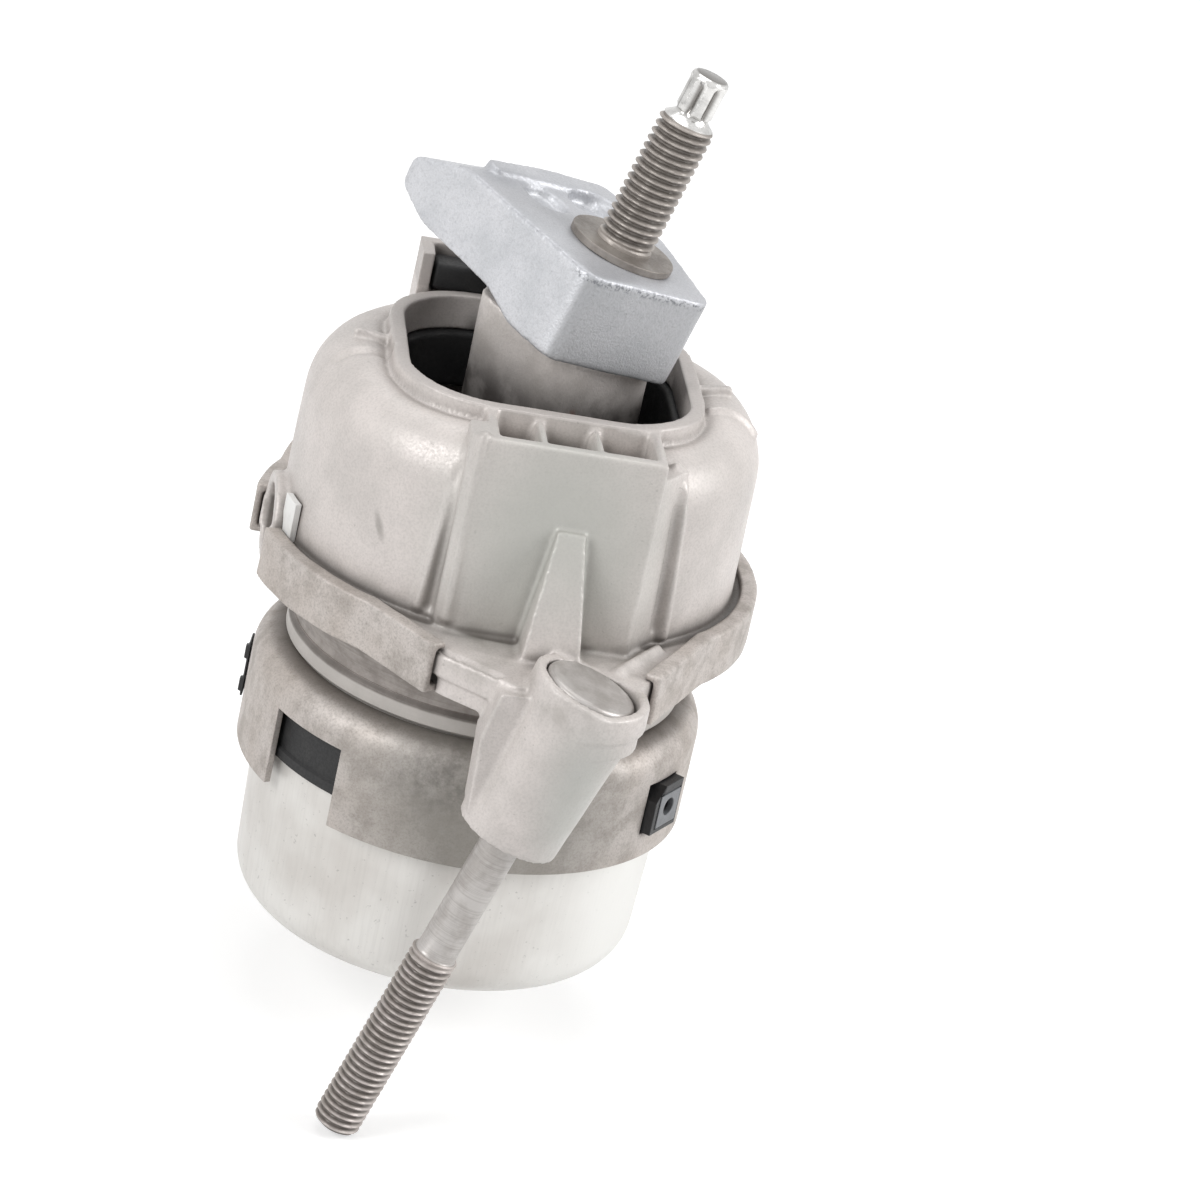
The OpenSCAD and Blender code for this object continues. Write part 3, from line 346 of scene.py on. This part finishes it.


# fine rings along the axis, mottled; roots are two radii between which the painted shade of a thread's
# roots ends, and bands are low, top, tone and amount
def turnedFinish(name, pale, dark, metal, rough, local=None, ring=0.35, roots=None, lines=0.3, bands=()):
    finish, tree, shader = newFinish(name, metal, rough)
    at = place(tree, local)
    rings = cloud(tree, place(tree, local, (0.02, 0.02, 1)), ring, 2, 0.6)
    broad = cloud(tree, at, 5, 5, 0.65)
    colour = mixTones(tree, steps(tree, broad, 0.35, 0.68), tone(*pale), tone(*dark))
    colour = mixTones(tree, steps(tree, rings, 0.45, 0.7, 0, lines), colour, tone(118, 112, 106))
    for low, top, paint, amount in bands:
        high = heightOf(tree, at)
        within = times(tree, steps(tree, high, low - 0.3, low), steps(tree, high, top + 0.3, top))
        colour = tinted(tree, colour, within, paint, amount)
    if roots:
        # painted shade in the thread roots
        rootShade = steps(tree, outOf(tree, at), roots[0], roots[1], 0.75, 0)
        colour = mixTones(tree, rootShade, colour, tone(80, 74, 69))
    tree.links.new(colour, shader.inputs["Base Color"])
    dull = steps(tree, cloud(tree, at, 0.5), 0.3, 0.7, rough - 0.06, rough + 0.1)
    tree.links.new(dull, shader.inputs["Roughness"])
    relief(tree, shader, rings, 0.03)
    return finish


def mouldedFinish(name, clean, dusty, rough, size=0.5):  # rubber or plastic skin
    finish, tree, shader = newFinish(name, 0, rough)
    at = place(tree)
    skin = cloud(tree, at, size, 3, 0.6)
    dust = steps(tree, cloud(tree, at, 5, 4, 0.65), 0.45, 0.75, 0, 0.6)
    tree.links.new(mixTones(tree, dust, tone(*clean), tone(*dusty)), shader.inputs["Base Color"])
    tree.links.new(steps(tree, skin, 0.3, 0.7, rough - 0.08, rough + 0.08), shader.inputs["Roughness"])
    relief(tree, shader, skin, 0.04)
    return finish


finishes = {
    "housing": housingFinish(housingLook),
    "arm": armFinish(armLook),
    "core": coreFinish(coreLook),
    "sheet": sheetFinish(sheetLook),
    "can": canFinish(canLook),
    # painted shade: above 62 mm the ring keeps a darker tone, with a dark band from 62.5 to 63.3 mm, under
    # the channel
    "ring": turnedFinish("turnedCasting", (168, 161, 156), (140, 133, 128), 0.2, 0.5,
                         bands=[(50, 62.0, (196, 192, 187), 0.7), (62.5, 63.3, (84, 79, 75), 0.6)]),
    "thread": turnedFinish("threadSteel", (196, 188, 184), (172, 164, 158), 0.3, 0.42,
                           boltFrame, 0.5, (4.15, 4.75)),
    "studThread": turnedFinish("studThreadSteel", (182, 175, 169), (158, 151, 145), 0.3, 0.42,
                               studFrame, 0.5, (4.95, 5.7)),
    "shank": turnedFinish("shankSteel", (190, 186, 183), (166, 161, 157), 0.4, 0.38, boltFrame, 0.3),
    "bright": turnedFinish("brightSteel", (226, 225, 223), (196, 195, 193), 0.92, 0.16,
                           studFrame, 0.3, (3.0, 3.72), 0.08),
    "washer": turnedFinish("washerSteel", (150, 144, 138), (120, 113, 107), 0.35, 0.45, studFrame, 0.3),
    "plate": turnedFinish("plateAluminium", (200, 200, 198), (182, 181, 178), 0.5, 0.4),
    "rubber": mouldedFinish("blackRubber", (22, 22, 23), (46, 45, 44), 0.6),
    "blackPlastic": mouldedFinish("blackPlastic", (26, 26, 28), (44, 44, 46), 0.42, 0.3),
    "greyPlastic": mouldedFinish("greyPlastic", (122, 124, 127), (98, 100, 103), 0.45, 0.3),
    "whitePlastic": mouldedFinish("whitePlastic", (238, 238, 236), (220, 219, 216), 0.4, 0.4),
}
print("finishes made:", len(finishes))

# mesh helpers


def newPiece(name, bm, *materials):
    bmesh.ops.recalc_face_normals(bm, faces=bm.faces)
    mesh = bpy.data.meshes.new(name)
    bm.to_mesh(mesh)
    bm.free()
    for layer in ("custom_normal", "sharp_face", "sharp_edge"):
        if layer in mesh.attributes:
            mesh.attributes.remove(mesh.attributes[layer])
    piece = bpy.data.objects.new(name, mesh)
    scene.collection.objects.link(piece)
    for key in materials:
        mesh.materials.append(finishes[key])
    return piece


def copyOf(node, flat=1.0):  # merged copy of a CAD node, its flat triangles joined into faces
    bm = bmesh.new()
    bm.from_mesh(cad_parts[node].data)
    bmesh.ops.remove_doubles(bm, verts=bm.verts, dist=2e-6)
    for face in bm.faces:
        face.material_index = 0
    if flat:
        bmesh.ops.dissolve_limit(bm, angle_limit=math.radians(flat), verts=bm.verts, edges=bm.edges)
    return bm


def settle(piece):  # applies the modifiers that are on the piece
    made = bpy.data.meshes.new_from_object(piece.evaluated_get(bpy.context.evaluated_depsgraph_get()))
    piece.modifiers.clear()
    old = piece.data
    piece.data = made
    made.name = piece.name
    bpy.data.meshes.remove(old)


def smoothShade(piece, angle=35):
    piece.data.shade_smooth()
    if angle:
        piece.data.set_sharp_from_angle(angle=math.radians(angle))


def soften(piece, voxel, rounds):  # one soft skin: voxels, then smoothing
    grid = piece.modifiers.new("grid", "REMESH")
    grid.mode = "VOXEL"
    grid.voxel_size = voxel * mm
    ease = piece.modifiers.new("ease", "SMOOTH")
    ease.factor, ease.iterations = 0.5, rounds
    settle(piece)
    smoothShade(piece, 0)


def thin(piece, triangles):  # fewer triangles, kept where the shape turns
    count = sum(len(face.vertices) - 2 for face in piece.data.polygons)
    if count > triangles:
        fewer = piece.modifiers.new("fewer", "DECIMATE")
        fewer.ratio = triangles / count
        settle(piece)
        smoothShade(piece, 0)


def roundEdges(piece, width):
    edge = piece.modifiers.new("edges", "BEVEL")
    edge.width, edge.segments, edge.limit_method = width * mm, 2, "ANGLE"
    edge.angle_limit = math.radians(30)
    edge.harden_normals = True
    smoothShade(piece)


def fit(piece, body, slotName, *nodes):
    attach(piece, body)
    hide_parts(*nodes)


def ripple(piece, amount, size):  # small dents of formed metal
    verts = piece.data.vertices
    spots = [vert.co.copy() for vert in verts]
    outward = [vert.normal.copy() for vert in verts]
    moved = []
    for spot, normal in zip(spots, outward):
        moved.extend(spot + normal * noise.noise(spot / (size * mm)) * amount * mm)
    verts.foreach_set("co", moved)
    piece.data.update()


def addBlock(bm, low, high, unit=mm):
    made = bmesh.ops.create_cube(bm, size=1)["verts"]
    low, high = Vector(low) * unit, Vector(high) * unit
    bmesh.ops.scale(bm, vec=high - low, verts=made)
    bmesh.ops.translate(bm, vec=(low + high) / 2, verts=made)


# castings: node, voxel, smoothing rounds, finish, body and slot
castings = {"upperHousing": ("upper_housing", 0.5, 3, "housing", "mount_body", "cast_housing"),
            "topArm": ("top_arm", 0.45, 22, "arm", "core", "cast_arm"),
            "coreColumn": ("core_column", 0.6, 4, "core", "core", "core_casting")}
castSkin = {"dents": 0.1, "dentSize": 9, "triangles": 185000}
housingDetail = {
    "valley": 2.4, "valleyReach": 10,  # how deep and how far the dome dips beside the lip
    "lipCorner": (11.5, 11), "lipRadius": 20, "lipTop": 125.3, "domeLow": 112,
    "pocket": ((-12.2, -43.9, 120.4), (18.9, -32.6, 131)),
    "pocketFloor": ((-13.0, -44.6, 118.5), (19.7, -31.2, 120.3)),
    "pocketRibs": (-3.4, 7.8), "ribWidth": 1.35, "ribTop": 125.0,
    "sideRib": ((21.3, -46.4, 84.3), (25.6, -37.5, 119.5)),  # taken off, the first web stands there
    "webBack": -33,  # no web's top reaches further back than this
    "webs": [  # outline, low, top and how far the top is set back
        ([(17, -46.4), (20.8, -46.4), (26.8, -38.0), (24, -33), (17, -33)], 84, 121, 1.4),
        ([(-12.5, -46.5), (-15.4, -46.6), (-17.9, -45.3), (-18.0, -38), (-12.5, -38)], 84, 125.2, 0.5)],
    "beads": [  # points, half width and height; a height below 0 is a groove
        ([(-16.4, -38.3, 121), (-18.5, -42.6, 111.5), (-19.8, -42.1, 99), (-20.9, -41.8, 86.5)], 1.3, 1.0),
        ([(-18.4, -41.6, 120), (-18.9, -43.2, 111.3), (-19.0, -43.2, 99.1), (-19.1, -43.2, 87)], 1.1, -1.0),
        ([(-15.6, -46, 125), (-15.8, -46.6, 112.4), (-15.8, -46.6, 99.5), (-15.8, -46.6, 87)], 1.5, 1.3),
        ([(24, -36, 120.4), (25.8, -38, 116.9), (26.8, -38.4, 108.9), (27.6, -38, 100),
          (28.1, -37.6, 91.2), (28.4, -37.4, 86)], 1.4, 1.5),
        ([(25.2, -39.0, 114), (25.9, -38.7, 104.4), (26.1, -38.7, 95.7), (26.2, -38.6, 88)], 1.1, -0.6),
        ([(-41.9, -5.6, 120.7), (-39.4, -5.4, 122.6), (-35.1, -5, 124), (-32.4, -4.8, 124.4)], 1.5, -0.8),
        ([(33, -7.6, 124.2), (37, -6.8, 123.4), (41, -6.2, 121.2), (43.5, -6, 118.8)], 1.1, 1.1),
        ([(-19.5, -54.2, 84), (-15, -57.4, 84), (-10.5, -60.6, 84), (-6, -63.8, 84)], 0.9, -1.3),
        ([(18.9, -54.2, 84.1), (23.5, -47.2, 84.1), (27.5, -41.3, 84.1)], 1.3, 1.5)]}


def openPocket(piece, detail):  # one pocket with two thin ribs in the pad's top
    bm = bmesh.new()
    addBlock(bm, *detail["pocket"])
    addBlock(bm, *detail["sideRib"])
    cutter = newPiece("pocketCutter", bm)
    cut = piece.modifiers.new("cut", "BOOLEAN")
    cut.operation, cut.object = "DIFFERENCE", cutter
    settle(piece)
    bpy.data.objects.remove(cutter)
    bm = bmesh.new()
    bm.from_mesh(piece.data)
    low, high = detail["pocket"]
    half = detail["ribWidth"] / 2
    for x in detail["pocketRibs"]:
        addBlock(bm, (x - half, low[1] - 1, low[2] - 1), (x + half, high[1] + 0.8, detail["ribTop"]))
    addBlock(bm, *detail["pocketFloor"])
    for outline, bottom, top, back in detail["webs"]:  # slanted faces between the pad and the wall
        corners = [bm.verts.new(Vector((x, y, bottom)) * mm) for x, y in outline]
        corners += [bm.verts.new(Vector((x, min(y + back, detail["webBack"]), top)) * mm) for x, y in outline]
        bmesh.ops.convex_hull(bm, input=corners)
    bm.to_mesh(piece.data)
    bm.free()


def moulded(piece, detail):  # presses the lip's valley, the ribs and the grooves into the soft skin
    mesh = piece.data
    count = len(mesh.vertices)
    spots = np.empty(count * 3)
    outward = np.empty(count * 3)
    mesh.vertices.foreach_get("co", spots)
    mesh.vertex_normals.foreach_get("vector", outward)
    spots, outward = spots.reshape(-1, 3) / mm, outward.reshape(-1, 3)
    moved = spots.copy()
    over = np.maximum(np.abs(spots[:, :2]) - detail["lipCorner"], 0)
    away = np.hypot(over[:, 0], over[:, 1]) - detail["lipRadius"]
    share = np.clip(1 - away / detail["valleyReach"], 0, 1) ** 2
    below = np.clip((detail["lipTop"] - spots[:, 2]) / 0.9, 0, 1)
    onDome = (away > -0.4) & (spots[:, 2] > detail["domeLow"]) & (outward[:, 2] > -0.3)
    moved[:, 2] -= np.where(onDome, detail["valley"] * share * below, 0)
    for points, width, height in detail["beads"]:
        nearest = np.full(count, 1e9)
        for first, second in zip(points, points[1:]):
            first, second = np.array(first), np.array(second)
            line = second - first
            along = np.clip((spots - first) @ line / (line @ line), 0, 1)
            nearest = np.minimum(nearest, np.linalg.norm(spots - first - along[:, None] * line, axis=1))
        share = np.clip(1 - nearest / (width * 1.6), 0, 1)
        share = share * share * (3 - 2 * share)
        moved += outward * (share * height)[:, None]
    mesh.vertices.foreach_set("co", (moved * mm).ravel())
    mesh.update()


for name, (node, voxel, rounds, finish, body, slotName) in castings.items():
    piece = newPiece(name, copyOf(node, 0), finish)
    if name == "upperHousing":
        openPocket(piece, housingDetail)
    soften(piece, voxel, rounds)
    if name == "upperHousing":
        moulded(piece, housingDetail)
    ripple(piece, castSkin["dents"], castSkin["dentSize"])
    thin(piece, castSkin["triangles"])
    fit(piece, body, slotName, node)
    print("casting", name, len(piece.data.polygons))

# rolled and soft pieces: node, voxel, smoothing rounds, finish, slot and dents
formed = {"channelLeft": ("channel_left_piece", 0.34, 6, "sheet", "pressed_steel", 0.14),
          "channelRear": ("channel_rear_piece", 0.34, 6, "sheet", "pressed_steel", 0.14),
          "channelRight": ("channel_right_piece", 0.4, 5, "sheet", "pressed_steel", 0.14),
          "snubberRing": ("snubber_ring", 0.6, 3, "rubber", "rubber_black", 0.05)}
formedDentSize = 7
for name, (node, voxel, rounds, finish, slotName, dents) in formed.items():
    piece = newPiece(name, copyOf(node, 0), finish)
    soften(piece, voxel, rounds)
    ripple(piece, dents, formedDentSize)
    fit(piece, "mount_body", slotName, node)

# pieces with rounded edges: node, bevel width, finish, body and slot
edged = {"skirt": ("collar", 0.35, "sheet", "mount_body", "pressed_steel"),
         "canShell": ("lower_can", 0.3, "can", "mount_body", "can_aluminium"),
         "baseRing": ("base_ring", 0.35, "ring", "mount_body", "cast_ring"),
         "washerPlate": ("stud_washer", 0.25, "washer", "core", "washer_steel"),
         "portBlock": ("vacuum_port", 0.35, "blackPlastic", "mount_body", "plastic_black"),
         "portPlate": ("port_face", 0.2, "greyPlastic", "mount_body", "plastic_grey"),
         "clipStrip": ("cable_clip", 0.25, "blackPlastic", "mount_body", "plastic_black"),
         "whiteTab": ("locating_tab", 0.3, "whitePlastic", "mount_body", "plastic_white"),
         "sealBand": ("band_seal", 0.15, "rubber", "mount_body", "rubber_black"),
         "jointGasket": ("flange_seal", 0.1, "rubber", "mount_body", "rubber_black"),
         "looseDisc": ("decoupler", 0.5, "rubber", "mount_body", "rubber_black"),
         "rollingDiaphragm": ("diaphragm", 0.2, "rubber", "mount_body", "rubber_black"),
         "trackPlateUpper": ("upper_track_plate", 0.25, "plate", "mount_body", "cast_ring"),
         "trackPlateLower": ("lower_track_plate", 0.25, "plate", "mount_body", "cast_ring"),
         "clampRing": ("diaphragm_ring", 0.2, "plate", "mount_body", "fastener_steel"),
         "spacerSleeve": ("bolt_sleeve", 0.2, "shank", "mount_body", "fastener_steel"),
         "sealBall": ("fill_ball", 0, "bright", "mount_body", "fastener_steel")}
clipReach = {"skirtRadius": 47.0, "share": 0.5}


def drawIn(piece, radius, share):  # what stands proud of the skirt keeps this share of its reach
    for vert in piece.data.vertices:
        out = math.hypot(vert.co.x, vert.co.y) / mm
        if out > radius:
            vert.co.xy *= (radius + (out - radius) * share) / out


for name, (node, width, finish, body, slotName) in edged.items():
    piece = newPiece(name, copyOf(node), finish)
    if name == "clipStrip":
        drawIn(piece, clipReach["skirtRadius"], clipReach["share"])
    if width:
        roundEdges(piece, width)
        settle(piece)
    else:
        smoothShade(piece)
    fit(piece, body, slotName, node)
print("formed and moulded pieces:", len(formed) + len(edged))

# rubber spring, between the two bodies
springSkin = {"voxel": 0.9, "rounds": 4}
spring = newPiece("rubberSpring", copyOf("main_spring", 0), "rubber")
soften(spring, springSkin["voxel"], springSkin["rounds"])
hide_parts("main_spring")
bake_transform(spring)

# buffer block in the rear tower
bufferBlock = {"edge": 1.0, "segments": 3, "sharpAngle": 50}


def buildBuffer(size):
    bm = bmesh.new()
    addBlock(bm, *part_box("tower_buffer"), 1)
    bmesh.ops.bevel(bm, geom=bm.edges[:], offset=size["edge"] * mm, segments=size["segments"],
                    profile=0.5, affect="EDGES", material=-1)
    piece = newPiece("bufferBlock", bm, "rubber")
    smoothShade(piece, size["sharpAngle"])
    fit(piece, "mount_body", "rubber_black", "tower_buffer")


buildBuffer(bufferBlock)

# threaded pieces, in mm along their own axes; a row is height, radius, thread depth and flute depth
studShape = {"crest": 5.85, "threadDepth": 1.0, "pitch": 1.75, "threadLow": 2.2, "threadTop": 29.4,
             "bottom": -38.5, "neck": 3.5, "drive": 3.95, "flute": 0.95, "top": 40.2, "brightFrom": 29.7,
             "segments": 72, "perPitch": 12}
boltShape = {"crest": 4.87, "threadDepth": 0.86, "pitch": 1.5, "tip": -106.6, "threadTop": -63.6,
             "shank": 4.1, "headLow": -1.6, "headTop": 1.6, "head": 9.4, "brightFrom": -63.2,
             "segments": 64, "perPitch": 10}
lobes = 6  # of the stud's drive end


def plainRows(*pairs):
    return [(z, radius, 0, 0) for z, radius in pairs]


def threadRows(low, top, shape, fadeLow, fadeTop):
    count = int((top - low) / shape["pitch"] * shape["perPitch"])
    rows = []
    for i in range(count + 1):
        z = low + (top - low) * i / count
        share = min(1, (z - low) / fadeLow if fadeLow else 1, (top - z) / fadeTop if fadeTop else 1)
        rows.append((z, shape["crest"], shape["threadDepth"] * max(share, 0), 0))
    return rows


def studRows(shape):  # foot, thread, neck and fluted drive end
    bottom, top, crest = shape["bottom"], shape["top"], shape["crest"]
    neck, drive, flute = shape["neck"], shape["drive"], shape["flute"]
    rows = plainRows((bottom, crest - 0.8), (bottom + 0.8, crest), (-10, crest), (1.4, crest))
    rows += threadRows(shape["threadLow"], shape["threadTop"], shape, 1.0, 0)
    rows += [(29.9, 5.3, 0.5, 0)] + plainRows((30.3, 4.75), (30.5, 4.5), (31.2, neck + 0.1))
    rows += [(31.7, neck, 0, 0.2)]
    rows += [(z, drive, 0, flute) for z in (32.3, 33.5, 35, 36.5, 38)]
    rows += [(38.6, drive + 0.1, 0, flute * 0.7), (39.2, drive + 0.05, 0, 0.15)]
    return rows + plainRows((39.7, drive - 0.15), (40.05, drive - 0.55), (top, drive - 1.2))


def boltRows(shape):  # chamfered tip, thread, shank and round head
    tip, end, crest, shank = shape["tip"], shape["threadTop"], shape["crest"], shape["shank"]
    low, top, head = shape["headLow"], shape["headTop"], shape["head"]
    rows = plainRows((tip, crest - 1.5), (tip + 0.3, crest - 1.1))
    for z, cap, depth, flute in threadRows(tip + 0.4, end, shape, 0, 1.6):
        rows.append((z, min(cap, crest - 1.0 + (z - tip) * 0.8), depth, flute))
    rows += plainRows((end + 0.3, shank + 0.25), (end + 0.9, shank))
    rows += plainRows(*[(z, shank) for z in range(-55, 0, 10)])
    rows += plainRows((low, shank), (low, head - 0.3), (low + 0.3, head), (top - 1.0, head))
    rows += plainRows((top - 0.55, head - 0.2), (top - 0.2, head - 0.55), (top, head - 1.1))
    return rows + plainRows((top - 0.12, head - 4), (top - 0.15, 0.5))


def threadedRod(name, rows, shape, lean, *materials):  # a grid rolled into a rod, one row per height
    bm = bmesh.new()
    last = len(rows) - 1
    bmesh.ops.create_grid(bm, x_segments=shape["segments"], y_segments=last, size=0.5)
    for vert in bm.verts:
        turn = vert.co.x + 0.5
        z, cap, depth, flute = rows[round((vert.co.y + 0.5) * last)]
        phase = (z / shape["pitch"] - turn) % 1
        cut = min(max((0.84 - abs(phase - 0.5) * 2) / 0.6, 0), 1)  # 0 on a crest, 1 in a root
        wave = (0.5 + 0.5 * math.cos(lobes * turn * math.tau)) ** 2
        radius = min(cap, shape["crest"] - depth * cut) if depth else cap
        radius -= flute * wave
        vert.co = (radius * math.cos(turn * math.tau), radius * math.sin(turn * math.tau), z)
    bmesh.ops.remove_doubles(bm, verts=bm.verts, dist=1e-4)
    bmesh.ops.holes_fill(bm, edges=[e for e in bm.edges if e.is_boundary], sides=0)
    bmesh.ops.transform(bm, matrix=Matrix.Scale(mm, 4) @ lean, verts=bm.verts)
    piece = newPiece(name, bm, *materials)
    smoothShade(piece, 38)
    return piece


def paintAbove(piece, lean, height):  # faces above this height take the second material
    back = (Matrix.Scale(mm, 4) @ lean).inverted()
    for face in piece.data.polygons:
        face.material_index = int((back @ face.center).z > height)


stud = threadedRod("threadedStud", studRows(studShape), studShape, studFrame, "studThread", "bright")
paintAbove(stud, studFrame, studShape["brightFrom"])
fit(stud, "core", "fastener_steel", "stud")
bolt = threadedRod("longBolt", boltRows(boltShape), boltShape, boltFrame, "thread", "shank")
paintAbove(bolt, boltFrame, boltShape["brightFrom"])
fit(bolt, "mount_body", "fastener_steel", "long_bolt")
print("threads cut")

# floor, light and background; a lamp is its name, place, width and power
light = {"floorTone": 0.7, "floorLift": 0.5, "floorReach": 6, "floorGap": 0.0002, "around": 0.27,
         "aim": (0, -0.02, 0.07),
         "lamps": [("leftLamp", (-1.15, -0.7, 0.9), 0.9, 14.5), ("rightLamp", (1.25, -0.3, 0.75), 0.9, 13.8),
                   ("topLamp", (0.0, 0.35, 1.6), 1.2, 7.5)]}


def seenBy(tree, *kinds):  # 1 for the named rays, 0 for all others
    rays = addNode(tree, "LightPath").outputs
    seen = rays["Is Camera Ray"]
    for kind in kinds:
        seen = sums(tree, "MAXIMUM", seen, rays[kind])
    return seen


def buildStage(values):
    bm = bmesh.new()
    bmesh.ops.create_grid(bm, x_segments=1, y_segments=1, size=values["floorReach"])
    bmesh.ops.translate(bm, vec=(0, 0, cadLow.z - values["floorGap"]), verts=bm.verts)
    floor = newPiece("floor", bm)
    paper, tree, shader = newFinish("paper", 0, 0.9)
    shader.inputs["Base Color"].default_value = (values["floorTone"],) * 3 + (1,)
    shader.inputs["Specular IOR Level"].default_value = 0
    shader.inputs["Emission Color"].default_value = (1, 1, 1, 1)
    lift = times(tree, seenBy(tree, "Is Glossy Ray"), values["floorLift"])
    tree.links.new(lift, shader.inputs["Emission Strength"])
    floor.data.materials.append(paper)
    world = bpy.data.worlds.new("studio")
    scene.world = world
    world.use_nodes = True
    tree = world.node_tree
    back = tree.nodes["Background"]
    seen = seenBy(tree, "Is Glossy Ray", "Is Transmission Ray")
    tree.links.new(steps(tree, seen, 0, 1, values["around"], 1), back.inputs["Strength"])
    back.inputs["Color"].default_value = (1, 1, 1, 1)
    for name, spot, size, power in values["lamps"]:
        lamp = bpy.data.objects.new(name, bpy.data.lights.new(name, "AREA"))
        lamp.data.shape, lamp.data.size, lamp.data.energy = "DISK", size, power
        lamp.location = spot
        lamp.rotation_euler = (Vector(values["aim"]) - Vector(spot)).to_track_quat("-Z", "Y").to_euler()
        scene.collection.objects.link(lamp)


buildStage(light)
scene.view_settings.view_transform = "Standard"
